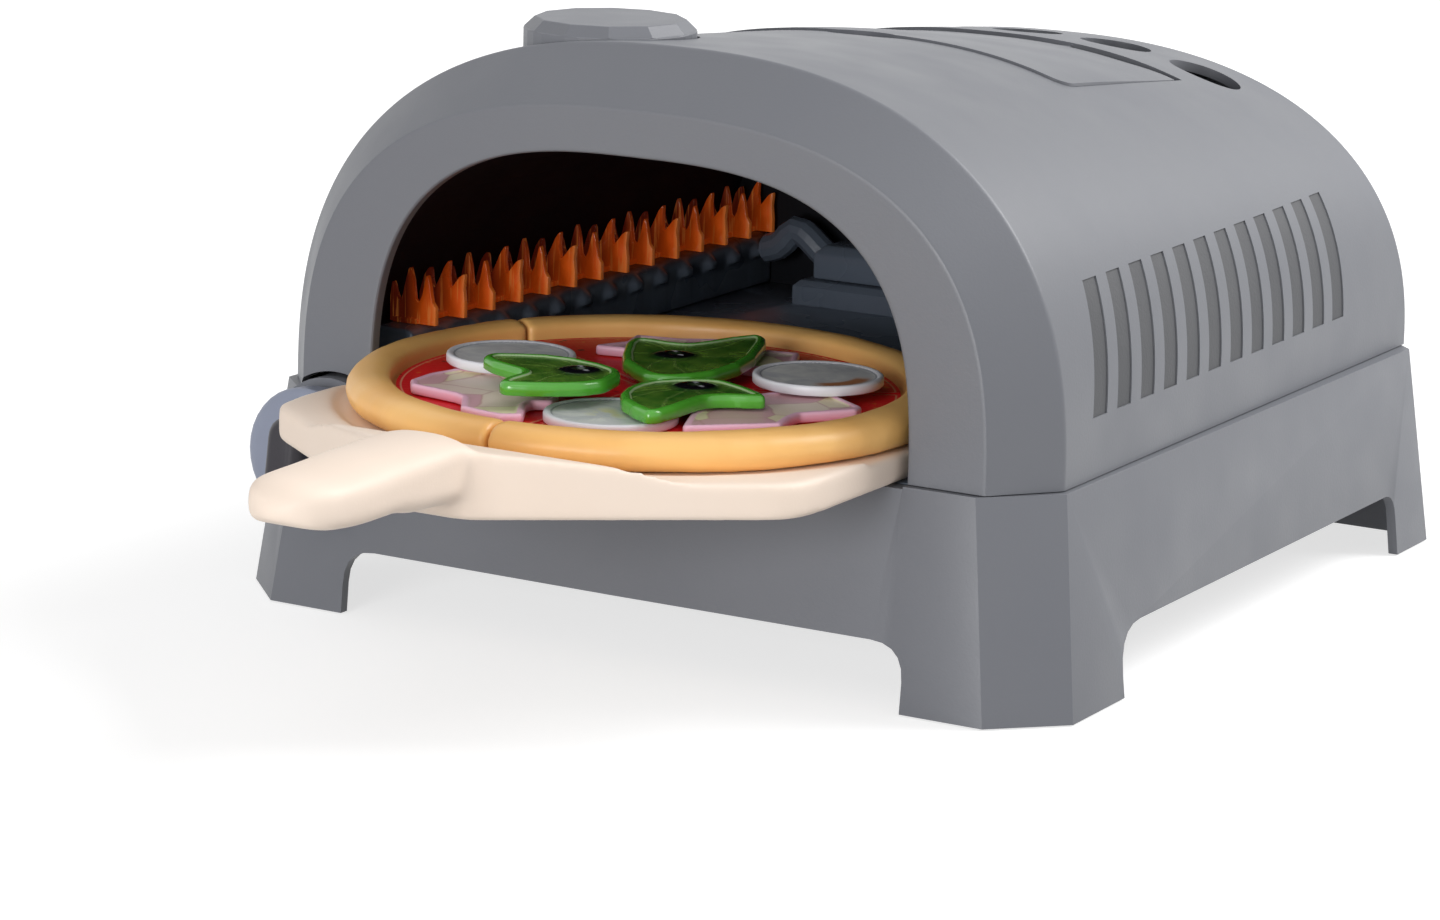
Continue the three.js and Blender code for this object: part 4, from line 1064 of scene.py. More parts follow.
@dataclass(frozen=True)
class FlameFinish:
    """Clear orange plastic, darker and redder at the tips, with a painted highlight at its right edge and
    along its ribs, painted shade inwards and a painted glow.

    Attributes:
        plastic: The plastic itself.
        tip: The darker colour, of the tips and of the painted shade inwards.
        painted_highlight: Colour of the painted highlight on the right edge and along the ribs.
        rise: Heights between which the tips darken, in millimetres.
        painted_shade_span: Places across, between which painted shade darkens the flames inwards.
        edge: Places across, between which a painted highlight brightens the right edge.
    """

    plastic: Plastic
    tip: Colour
    painted_highlight: Colour = srgb(255, 150, 70)
    rise: Pair = (89.3, 101.8)
    painted_shade_span: Pair = (-98.5, -104.5)
    edge: Pair = (-95.2, -94.0)

    def make(self, groups: ShaderGroups) -> bpy.types.Material:
        """Makes the material.

        Args:
            groups: The shared effects.

        Returns:
            The finished material.
        """
        draft = self.plastic.start(groups)
        graph, places = draft.graph, draft.graph.places()
        apart = graph.add("SeparateXYZ", {"Vector": places}).outputs
        rise, painted_shade_span, edge = (tuple(c * MM for c in pair) for pair in (self.rise, self.painted_shade_span, self.edge))
        # Darker and redder towards the tips, and painted shade that darkens the flames inwards.
        dark = graph.maths(
            "MAXIMUM", graph.times(graph.ramp(apart["Z"], *rise), 0.45),
            graph.ramp(apart["X"], *painted_shade_span, 0.0, 0.92),
        )
        # Painted highlights: light streaks along the ribs and a bright right edge.
        tall = graph.add("Mapping", {"Vector": places, "Scale": (1.0, 1.0, 0.06)}).outputs[0]
        painted_ridge_highlights = graph.ramp(graph.noise(tall, 900.0, 2.0).outputs["Fac"], 0.56, 0.66, 0.0, 0.6)
        draft.lay(dark, self.tip)
        draft.lay(graph.maths("MAXIMUM", painted_ridge_highlights, graph.ramp(apart["X"], *edge, 0.0, 0.6)), self.painted_highlight)
        # Painted glow: the flames give off light in their painted colour, painted highlights and shade
        # included.
        graph.feed(draft.shader.inputs["Emission Color"], draft.colour)
        return draft.done()


class Paints:
    """Every finish of the oven."""

    def __init__(self) -> None:
        """Makes the materials."""
        groups = ShaderGroups()
        disc = Plastic("disc_white", srgb(232, 232, 238), srgb(222, 222, 230), 0.34, 0.08, 600.0)
        finishes = {
            "body": Plastic("body_grey", srgb(111, 113, 119), srgb(107, 109, 116), 0.44, 0.14, 1100.0),
            "print": Plastic("print_grey", srgb(72, 73, 76), srgb(68, 69, 73), 0.62, 0.3),
            "dark": Plastic("dark_grey", srgb(102, 112, 126), srgb(90, 101, 115), 0.27, 0.12),
            "black": Plastic("black_plastic", srgb(18, 20, 26), srgb(14, 17, 24), 0.7, 0.2, specular=0.2),
            "grip": Plastic("grip_black", srgb(38, 34, 42), srgb(30, 28, 34), 0.42, 0.15),
            "silver": Plastic(
                "knob_silver", srgb(140, 146, 164), srgb(128, 134, 152), 0.34, 0.2, 1500.0, metallic=0.35
            ),
            "steel": Plastic(
                "screw_steel", srgb(168, 170, 175), srgb(150, 152, 156), 0.3, 0.1, 1500.0, metallic=1.0
            ),
            "cream": Plastic(
                "peel_cream", srgb(250, 232, 216), srgb(246, 226, 208), 0.5, 0.1, 1000.0, specular=0.25
            ),
            "crust": DoughFinish(
                Plastic("crust_brown", srgb(250, 198, 122), srgb(242, 186, 106), 0.4, 0.18, 500.0),
                srgb(222, 156, 78),
            ),
            "sauce": SauceFinish(
                Plastic("sauce_red", srgb(238, 30, 40), srgb(222, 22, 32), 0.42, 0.25, 500.0, specular=0.3)
            ),
            "leaf": LeafFinish(
                Plastic("leaf_green", srgb(84, 172, 52), srgb(70, 156, 44), 0.24, 0.06, 500.0, coat=0.35)
            ),
            "ham": HamFinish(
                Plastic("ham_pink", srgb(246, 196, 218), srgb(238, 180, 204), 0.34, 0.1, 600.0)
            ),
            "disc": DiscFinish(disc),
            "disc_toasted": DiscFinish(replace(disc, name="disc_toasted"), streak=0.9),
            "disc_yellow": DiscFinish(replace(disc, name="disc_yellow"), heart=0.8),
            # The flames get a painted glow, though they are no lamp.
            "flame": FlameFinish(
                Plastic(
                    "flame_orange", srgb(250, 104, 24), srgb(240, 84, 16), 0.25, 0.1, 600.0,
                    coat=0.3, glow=0.11,
                ),
                srgb(104, 28, 20),
            ),
        }
        self.made = {name: finish.make(groups) for name, finish in finishes.items()}

    def dress(self, piece: bpy.types.Object, finish: str) -> bpy.types.Object:
        """Gives a piece one finish.

        Args:
            piece: The piece.
            finish: Name of the finish.

        Returns:
            The piece.
        """
        piece.data.materials.clear()
        piece.data.materials.append(self.made[finish])
        return piece

    def dress_node(self, node: str, finish: str) -> None:
        """Gives a frame node's own slots one finish.

        Args:
            node: The node's name.
            finish: Name of the finish.
        """
        for place in bpy.data.objects[node].material_slots:
            place.material = self.made[finish]


def hand_in(piece: bpy.types.Object, body: str, *nodes: str) -> None:
    """Lets a finished piece ride on its body in place of frame nodes, and reports it.

    Args:
        piece: The finished piece.
        body: The body that carries it.
        *nodes: The frame nodes that it stands for.
    """
    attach(piece, body)
    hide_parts(*nodes)
    log.info("%s rides on %s, %d faces", piece.name, body, len(piece.data.polygons))


# Sub-assemblies


@dataclass(frozen=True)
class Arch:
    """One vault section above the ledge.

    Attributes:
        half: Half its width.
        rise: Its height above the ledge.
        power: How square its shoulders are.
    """

    half: float
    rise: float
    power: float

    def shrunk(self, inset: float) -> Arch:
        """The same section drawn in on all sides."""
        return Arch(self.half - inset, self.rise - inset, self.power)

    def mixed(self, other: Arch, share: float) -> Arch:
        """A section between this one and another.

        Args:
            other: The other section.
            share: Its share.

        Returns:
            The section between them.
        """
        def mix(a: float, b: float) -> float:
            """A value between the two."""
            return a + (b - a) * share
        return Arch(mix(self.half, other.half), mix(self.rise, other.rise), mix(self.power, other.power))

    def ring(self, y: float, foot: float, steps: int) -> list[Vector]:
        """Places on the section at y, from its right foot over the crown to its left foot.

        Args:
            y: The section's place.
            foot: Lowest height of its ends.
            steps: Number of stretches.

        Returns:
            The places.
        """
        places = []
        for i in range(steps + 1):
            angle = math.pi * i / steps
            across, up = math.cos(angle), abs(math.sin(angle))
            if i in (0, steps):
                up = 0.0
            x = self.half * math.copysign(abs(across) ** (2 / self.power), across)
            z = LEDGE + self.rise * up ** (2 / self.power)
            places.append(at(x, y, max(z, foot)))
        return places

    def height(self, x: float) -> float:
        """Its height over a place across it."""
        share = min(abs(x) / self.half, 1)
        return LEDGE + self.rise * (1 - share**self.power) ** (1 / self.power)

    def reach(self, x: float, z: float) -> float:
        """How far out a place lies on this section: 1 is on its surface."""
        return (abs(x) / self.half) ** self.power + ((z - LEDGE) / self.rise) ** self.power


@dataclass
class Hood:
    """The vaulted hood with its front bevel, mouth, vents, cap well, hatch seat and side motif.

    Each pair in crease, bevel and mouth_edge is a place along Y and an inset, which together round an
    edge. A span is two ends along one axis.
    """

    inner: Arch = Arch(117.5, 99.0, 2.7)
    outer: Arch = Arch(133.2, 116.1, 2.45)
    back: Arch = Arch(131.0, 94.1, 2.39)
    mouth: Arch = Arch(92.5, 85.0, 2.9)
    outer_at: float = 19.3
    back_at: float = 284.4
    bulge: float = 1.2
    foot: float = 65.7
    steps: int = 108
    wall: float = 3.0
    front_plate: float = 4.0
    crease: tuple[Pair, ...] = ((0.7, 0.0), (0.25, 0.05), (-0.25, 0.05), (-0.7, 0.0), (-1.1, 0.0))
    bevel: tuple[Pair, ...] = ((13.0, 0.0), (7.0, 0.0), (1.0, 0.0), (0.6, 0.0), (0.2, 0.06))
    face_insets: Pair = (0.5, 0.9)
    face_shares: Pair = (0.35, 0.68)
    mouth_edge: tuple[Pair, ...] = (
        (0.0, -1.4), (0.0, -1.0), (0.12, -0.5), (0.5, -0.12), (1.0, 0.0), (1.4, 0.0),
    )
    over_roof: float = 205.0
    outer_gap: float = 1.1
    outer_step: float = 6.0
    inner_step: float = 12.0
    shading: float = 24.0

    through_roof: Pair = (112.0, 200.0)
    hatch_half: float = 70.0
    hatch_front: float = 141.0
    hatch_back: float = 223.5
    hatch_corner: float = 7.0
    hatch_proud: float = 0.8
    hatch_gap: float = 0.5
    slot_back: float = 228.5
    past_slot: float = 20.0
    lid_underside: float = 2.2
    lid_span: Pair = (121.0, 248.5)
    under_span: Pair = (100.0, 270.0)
    under_foot: float = 40.0
    lip: float = 3.2
    lip_gap: float = 0.3
    lip_thickness: float = 2.0
    scoop_half: float = 15.0
    scoop_depth: float = 6.5
    scoop_rise: float = 4.0
    scoop_foot: float = 100.0
    sink: float = 1.9
    sink_from: float = 150.0
    sink_side_from: float = 48.0
    sink_side_less: float = 0.55

    axis_y: float = 226.0
    axis_z: float = 160.8
    knuckle_radius: float = 2.1
    pin_bore: float = 1.3
    arm_length: float = 8.0
    lug_inset: float = 1.1
    arm_rise: float = 20.0
    arm_span: Pair = (200.0, 250.0)
    seat_knuckles: tuple[Pair, Pair] = ((-31.0, -25.0), (25.0, 31.0))
    lid_knuckles: tuple[Pair, Pair] = ((-24.7, -18.0), (18.0, 24.7))
    lid_bores: tuple[Pair, Pair] = ((-26.0, -19.2), (19.2, 26.0))

    vent_radius: float = 12.0
    vent_y: float = 257.0
    vent_pitch: float = 33.0
    vent_foot: float = 85.0
    cap: Pair = (-38.0, 47.0)
    cap_bore: float = 3.3
    cap_bore_foot: float = 150.0
    well_radius: float = 27.3
    well_bottom: float = 166.6
    well_wall: float = 2.0
    well_floor: float = 2.4
    well_span: Pair = (1.0, 120.0)
    inner_inset: float = 1.5
    knob: Pair = (-105.5, 50.0)
    pocket_radius: float = 23.5
    pocket_span: Pair = (-20.0, 14.0)

    bar_depth: float = 0.45
    bar_count: int = 12
    bar_first: float = 38.0
    bar_pitch: float = 16.6
    bar_width: float = 9.6
    bar_lean: float = 9.0
    bar_low: float = 83.5
    bar_high: float = 121.5
    bar_side: Pair = (100.0, 140.0)
    bar_core: Pair = (-5.0, 25.0)
    motif_x: float = 90.0
    motif_y: Pair = (36.0, 246.0)
    motif_z: Pair = (83.0, 122.0)
    motif_slack: float = 0.004

    def section(self, y: float, inset: float = 0.0) -> Arch:
        """The outer section at a place along the hood.

        Args:
            y: The place.
            inset: How far the section is drawn in.

        Returns:
            The section.
        """
        t = (y - self.outer_at) / (self.back_at - self.outer_at)
        if t < 0:
            return self.inner.mixed(self.outer, y / self.outer_at).shrunk(inset)
        arch = self.outer.mixed(self.back, t)
        return Arch(arch.half - inset, arch.rise + self.bulge * 4 * t * (1 - t) - inset, arch.power)

    def stations(self, low: float, high: float, step: float) -> list[float]:
        """Places along the hood between two ends, with the outer crease among them.

        Args:
            low: The first place.
            high: The last one.
            step: Distance between them, about.

        Returns:
            The places in order.
        """
        count = max(1, round((high - low) / step))
        places = [low + (high - low) * i / count for i in range(count + 1)]
        if low < self.outer_at < high:
            places.append(self.outer_at)
        return sorted(places)

    def body(
        self, name: str, inset: float, span: Pair, foot: float = LEDGE, step: float = 9
    ) -> bpy.types.Object:
        """The closed space inside the hood's surface.

        Args:
            name: Name of the piece.
            inset: How far the surface is drawn in.
            span: Its two ends along Y.
            foot: Its lowest height.
            step: Distance between its sections.

        Returns:
            The piece.
        """
        rows = [self.section(y, inset).ring(y, foot, self.steps) for y in self.stations(*span, step)]
        return skin(name, [row + row[:1] for row in rows])

    def shell(self) -> bpy.types.Object:
        """The hood's wall and front as one skin, with its creases and mouth edge rounded.

        Returns:
            The closed piece.
        """
        stations = self.stations(self.outer_at + self.outer_gap, self.back_at, self.outer_step)
        rows = [(y, self.section(y)) for y in reversed(stations)]
        rows += [
            (self.outer_at + y, self.section(self.outer_at + y, inset)) for y, inset in self.crease
        ]
        rows += [(y, self.section(y, inset)) for y, inset in self.bevel]
        rows += [(0.0, self.inner.shrunk(inset)) for inset in self.face_insets]
        rows += [(0.0, self.inner.mixed(self.mouth, share)) for share in self.face_shares]
        rows += [(y, self.mouth.shrunk(inset)) for y, inset in self.mouth_edge]
        rows.append((self.front_plate, self.mouth))
        stations = self.stations(self.front_plate, self.back_at, self.inner_step)
        rows += [(y, self.section(y, self.wall)) for y in stations]
        rings = [arch.ring(y, self.foot, self.steps) for y, arch in rows]
        rings.append(rings[0])
        return skin("hood_dressed", rings)

    def region(self, name: str, grow: float, back: float, scoop: bool) -> bpy.types.Object:
        """The hatch's outline as a tall prism through the roof.

        Args:
            name: Name of the piece.
            grow: How far the outline is grown on all sides.
            back: Its back edge.
            scoop: Whether it has the finger scoop's bay.

        Returns:
            The piece.
        """
        half, front, corner = self.hatch_half + grow, self.hatch_front - grow, self.hatch_corner + grow
        corners = [(half, back, 0.0), (-half, back, 0.0), (-half, front, corner)]
        if scoop:
            wide = self.scoop_half + grow
            tip = front - self.scoop_depth
            corners += [(-wide, front, wide / 2), (-wide / 2, tip, wide / 2)]
            corners += [(wide / 2, tip, wide / 2), (wide, front, wide / 2)]
        corners.append((half, front, corner))
        return prism(name, rounded(corners), Axis.Z, *self.through_roof)

    def upright(
        self, name: str, place: Pair, radius: float, low: float, steps: int
    ) -> bpy.types.Object:
        """An upright rod that runs out through the roof."""
        return rod(name, Axis.Z, place, radius, low, self.over_roof, steps)

    def on_axis(self, name: str, radius: float, span: Pair, steps: int) -> bpy.types.Object:
        """A rod on the hatch's axis."""
        return rod(name, Axis.X, (self.axis_y, self.axis_z), radius, *span, steps)

    def arm(self, outline: Outline, inset: float, span: Pair) -> bpy.types.Object:
        """An arm under the roof, with a knuckle on the hatch's axis.

        Args:
            outline: Its corners as (y, z).
            inset: How far it stays below the roof's surface.
            span: Its two ends along X.

        Returns:
            The piece.
        """
        arm = prism("arm", outline, Axis.X, *span)
        combine(arm, self.body("core", inset, self.arm_span), Cut.KEEP)
        return combine(arm, self.on_axis("knuckle", self.knuckle_radius, span, 24), Cut.JOIN)

    def add_well(self, hood: bpy.types.Object) -> None:
        """Joins the cup that the turning cap sits in, and opens it.

        Args:
            hood: The hood.
        """
        cup = self.upright(
            "cup", self.cap, self.well_radius + self.well_wall, self.well_bottom - self.well_floor, 72
        )
        combine(cup, self.body("core", self.inner_inset, self.well_span), Cut.KEEP)
        combine(hood, cup, Cut.JOIN)
        combine(hood, self.upright("inside", self.cap, self.well_radius, self.well_bottom, 96), Cut.TAKE)
        combine(hood, self.upright("bore", self.cap, self.cap_bore, self.cap_bore_foot, 32), Cut.TAKE)

    def add_hatch_seat(self, hood: bpy.types.Object) -> None:
        """Opens the roof for the hatch, and joins the lip and the knuckles that carry it.

        Args:
            hood: The hood.
        """
        combine(hood, self.region("opening", self.hatch_gap, self.slot_back, True), Cut.TAKE)
        upper = self.lid_underside + self.lip_gap
        lip = self.body("lip", upper, self.lid_span)
        under = self.body("under", upper + self.lip_thickness, self.under_span, self.under_foot)
        combine(lip, under, Cut.TAKE)
        combine(lip, self.region("outside", self.lip, self.slot_back, True), Cut.KEEP)
        combine(lip, self.region("inside", -self.lip, self.slot_back + self.past_slot, False), Cut.TAKE)
        combine(hood, lip, Cut.JOIN)
        outline = box_outline(
            self.axis_y, self.axis_y + self.arm_length,
            self.axis_z - self.knuckle_radius, self.axis_z + self.arm_rise,
        )
        for low, high in self.seat_knuckles:
            arm = self.arm(outline, self.inner_inset, (low, high))
            combine(arm, self.on_axis("bore", self.pin_bore, (low - 1, high + 1), 20), Cut.TAKE)
            combine(hood, arm, Cut.JOIN)

    def cut_motif(self, hood: bpy.types.Object) -> None:
        """Sinks a row of slanted bars into each side, as the only ornament.

        Args:
            hood: The hood.
        """
        for side in (-1, 1):
            ends = sorted(side * x for x in self.bar_side)
            for i in range(self.bar_count):
                start = self.bar_first + self.bar_pitch * i
                end, low, high = start + self.bar_width, self.bar_low, self.bar_high
                outline = [
                    (start, low), (end, low), (end + self.bar_lean, high), (start + self.bar_lean, high)
                ]
                bar = prism("bar", outline, Axis.X, *ends)
                core = (start + self.bar_core[0], start + self.bar_core[1])
                combine(bar, self.body("core", self.bar_depth, core), Cut.TAKE)
                combine(hood, bar, Cut.TAKE)

    def tint_motif(self, hood: bpy.types.Object, paints: Paints) -> None:
        """Gives the floors of the sunk bars their darker finish.

        Args:
            hood: The hood.
            paints: The finishes.
        """
        hood.data.materials.append(paints.made["print"])
        hood.active_material_index = 1

        def sunk(face: bmesh.types.BMFace) -> bool:
            """Whether a face lies on a bar's floor.

            Args:
                face: The face.

            Returns:
                Whether it does.
            """
            x, y, z = (c / MM for c in face.calc_center_median())
            y -= ROW_SHIFT
            (y0, y1), (z0, z1) = self.motif_y, self.motif_z
            if not (y0 < y < y1 and z0 < z < z1 and abs(x) > self.motif_x):
                return False
            return abs(self.section(y, self.bar_depth).reach(x, z) - 1) < self.motif_slack

        with editing(hood) as mesh:
            pick_faces(mesh, sunk)
            bpy.ops.object.material_slot_assign()

    def build(self, paints: Paints) -> None:
        """Builds and dresses the hood and its hatch.

        Args:
            paints: The finishes.
        """
        hood = self.shell()
        pocket = rod("pocket", Axis.Y, self.knob, self.pocket_radius, *self.pocket_span, 96)
        combine(hood, pocket, Cut.TAKE)
        self.add_well(hood)
        self.add_hatch_seat(hood)
        for i in range(-2, 3):
            place = (i * self.vent_pitch, self.vent_y)
            combine(hood, self.upright("vent", place, self.vent_radius, self.vent_foot, 64), Cut.TAKE)
        self.cut_motif(hood)
        paints.dress(hood, "body")
        self.tint_motif(hood, paints)
        soften(hood, self.shading)
        hand_in(hood, "oven", "hood")
        self.build_hatch(paints)

    def sink_back(self, lid: bpy.types.Object) -> None:
        """Lets the hatch's top fall below the roof towards the slot behind it.

        Args:
            lid: The hatch.
        """
        places = places_of(lid)
        for i, (x, y, z) in enumerate(places):
            arch = self.section(y, (self.lid_underside - self.hatch_proud) / 2)
            if z > arch.height(x):
                side = smooth_step(np.array(abs(x)), self.sink_side_from, self.hatch_half)
                along = smooth_step(np.array(y), self.sink_from, self.hatch_back)
                places[i][2] = z - self.sink * (1 - self.sink_side_less * float(side)) * float(along)
        set_places(lid, places)

    def build_hatch(self, paints: Paints) -> None:
        """Builds and dresses the lift-up hatch with its lugs.

        Args:
            paints: The finishes.
        """
        lid = self.body("hatch_dressed", -self.hatch_proud, self.lid_span, step=5)
        under = self.body("under", self.lid_underside, self.under_span, self.under_foot)
        combine(lid, under, Cut.TAKE)
        combine(lid, self.region("outline", 0.0, self.hatch_back, False), Cut.KEEP)
        self.sink_back(lid)
        scoop_y = self.hatch_front - self.scoop_half + self.scoop_rise
        scoop = self.upright("scoop", (0.0, scoop_y), self.scoop_half, self.scoop_foot, 96)
        combine(lid, scoop, Cut.TAKE)
        outline = box_outline(
            self.hatch_back - self.arm_length, self.axis_y,
            self.axis_z - self.knuckle_radius, self.axis_z + self.knuckle_radius,
        )
        for span, bore in zip(self.lid_knuckles, self.lid_bores):
            combine(lid, self.arm(outline, self.lug_inset, span), Cut.JOIN)
            combine(lid, self.on_axis("bore", self.pin_bore, bore, 20), Cut.TAKE)
        paints.dress(lid, "body")
        soften(lid, self.shading)
        hand_in(lid, "hatch_lid", "hatch")


@dataclass
class Trim:
    """Frame nodes whose form is right already: they get rounded edges and a finish.

    Attributes:
        rounded_nodes: Node, body, finish, slot, edge width in millimetres and shading angle.
        plain_nodes: Nodes that only get a finish, by that finish.
    """

    rounded_nodes: tuple[tuple[str, str, str, str, float, float], ...] = (
        ("base", "oven", "body", "body_grey", 0.5, 24),
        ("turning_cap", "cap", "body", "body_grey", 0.3, 9),
        ("back_cover", "oven", "body", "body_grey", 0.3, 9),
        ("oven_floor", "oven", "dark", "dark_grey", 0.6, 40),
        ("rear_housing", "oven", "dark", "dark_grey", 0.8, 40),
        ("topping_bin", "oven", "black", "black_plastic", 0.3, 40),
        ("control_knob", "knob", "silver", "knob_silver", 0.4, 40),
        ("knob_grip", "knob", "grip", "grip_black", 1.2, 40),
    )
    plain_nodes: dict[str, tuple[str, ...]] = field(default_factory=lambda: {
        "black": ("inner_vault",),
        "dark": ("feed_pipe",),
        "steel": (
            "knob_shaft", "knob_clip", "cap_spindle", "cap_clip", "hatch_pin_left", "hatch_pin_right",
            "base_screw_fl", "base_screw_fr", "base_screw_bl", "base_screw_br",
            "panel_screw_low_left", "panel_screw_low_right", "panel_screw_high_left",
            "panel_screw_high_right", "burner_screw_front", "burner_screw_back",
        ),
    })

    def build(self, paints: Paints) -> None:
        """Builds and dresses them all.

        Args:
            paints: The finishes.
        """
        for node, body, finish, slot, width, angle in self.rounded_nodes:
            piece = round_edges(copy_of(node), width, shading=angle)
            paints.dress(piece, finish)
            hand_in(piece, body, node)
        for finish, nodes in self.plain_nodes.items():
            for node in nodes:
                paints.dress_node(node, finish)
                log.info("%s keeps its frame shape, in %s", node, finish)


@dataclass
class Burner:
    """The burner bar, lobed along its upper edge, and the comb of flames on it.

    Attributes:
        bar_face: Face of the bar below its lobes.
        bar_depth: How much is cut away in front of that face.
        bar_foot: Lowest height of that cut.
        bar_ends: Ends of that cut.
        lobe_low: Height of the lobes' underside.
        lobe_slope: How far that underside slopes.
        first: Place of the first flame plate.
        pitch: Distance between the plates.
        count: Number of plates.
        left: Left edge of the plates.
        width: Their width.
        low: Height of their foot.
        height: Their height above it.
        thickness: Their thickness.
        rounding: Rounding of their corners.
        edge: Width of the comb's rounded edges.
        rail_middle: Middle of the rail that joins them.
        rail_half: Half its width.
        rail_height: Its height.
        narrow: Outline of every other plate, as shares of width and height.
        broad: Outline of the plates between them.
    """

    bar_face: float = -95.4
    bar_depth: float = 9.0
    bar_foot: float = 60.0
    bar_ends: Pair = (20.0, 264.0)
    lobe_low: float = 77.5
    lobe_slope: float = 2.0
    first: float = 38.0
    pitch: float = 16.5
    count: int = 14
    left: float = -110.5
    width: float = 17.0
    low: float = 83.3
    height: float = 18.5
    thickness: float = 1.9
    rounding: float = 0.9
    edge: float = 0.35
    rail_middle: float = -104.25
    rail_half: float = 4.5
    rail_height: float = 1.6
    narrow: tuple[Pair, ...] = (
        (0, 0), (0, 0.42), (0.05, 0.74), (0.12, 0.5), (0.2, 0.34), (0.27, 0.46), (0.36, 0.8),
        (0.42, 1), (0.5, 0.72), (0.54, 0.42), (0.62, 0.34), (0.7, 0.5), (0.8, 0.9), (0.86, 0.7),
        (0.92, 0.4), (1, 0.3), (1, 0),
    )
    broad: tuple[Pair, ...] = (
        (0, 0), (0, 0.36), (0.1, 0.66), (0.24, 0.86), (0.27, 0.6), (0.32, 0.42), (0.42, 0.6),
        (0.54, 0.84), (0.66, 1), (0.64, 0.7), (0.67, 0.46), (0.76, 0.56), (0.88, 0.7), (1, 0.78),
        (0.97, 0.5), (1, 0.26), (1, 0),
    )

    def flame(self, index: int) -> bpy.types.Object:
        """One flame plate.

        Args:
            index: Its number along the comb.

        Returns:
            The plate.
        """
        corners = [
            (self.left + u * self.width, self.low + v * self.height, 0.0 if v == 0 else self.rounding)
            for u, v in (self.broad if index % 2 else self.narrow)
        ]
        y, half = self.first + self.pitch * index, self.thickness / 2
        return prism("flame", rounded(corners, 3), Axis.Y, y - half, y + half)

    def build(self, paints: Paints) -> None:
        """Builds and dresses both.

        Args:
            paints: The finishes.
        """
        bar = copy_of("burner_bar")
        front = self.bar_face + self.bar_depth
        cut = prism(
            "face", [(self.bar_face, self.bar_foot), (front, self.bar_foot), (front, self.lobe_low),
                     (self.bar_face, self.lobe_low - self.lobe_slope)],
            Axis.Y, *self.bar_ends,
        )
        combine(bar, cut, Cut.TAKE)
        melt(bar, 0.7, 3)
        paints.dress(bar, "dark")
        hand_in(bar, "oven", "burner_bar")
        rail = box_outline(
            self.rail_middle - self.rail_half, self.rail_middle + self.rail_half,
            self.low, self.low + self.rail_height,
        )
        comb = prism(
            "flame_comb_dressed", rail, Axis.Y, self.first - self.thickness,
            self.first + self.pitch * (self.count - 1) + self.thickness,
        )
        for i in range(self.count):
            combine(comb, self.flame(i), Cut.JOIN)
        round_edges(comb, self.edge, 40)
        paints.dress(comb, "flame")
        hand_in(comb, "oven", "flame_comb")


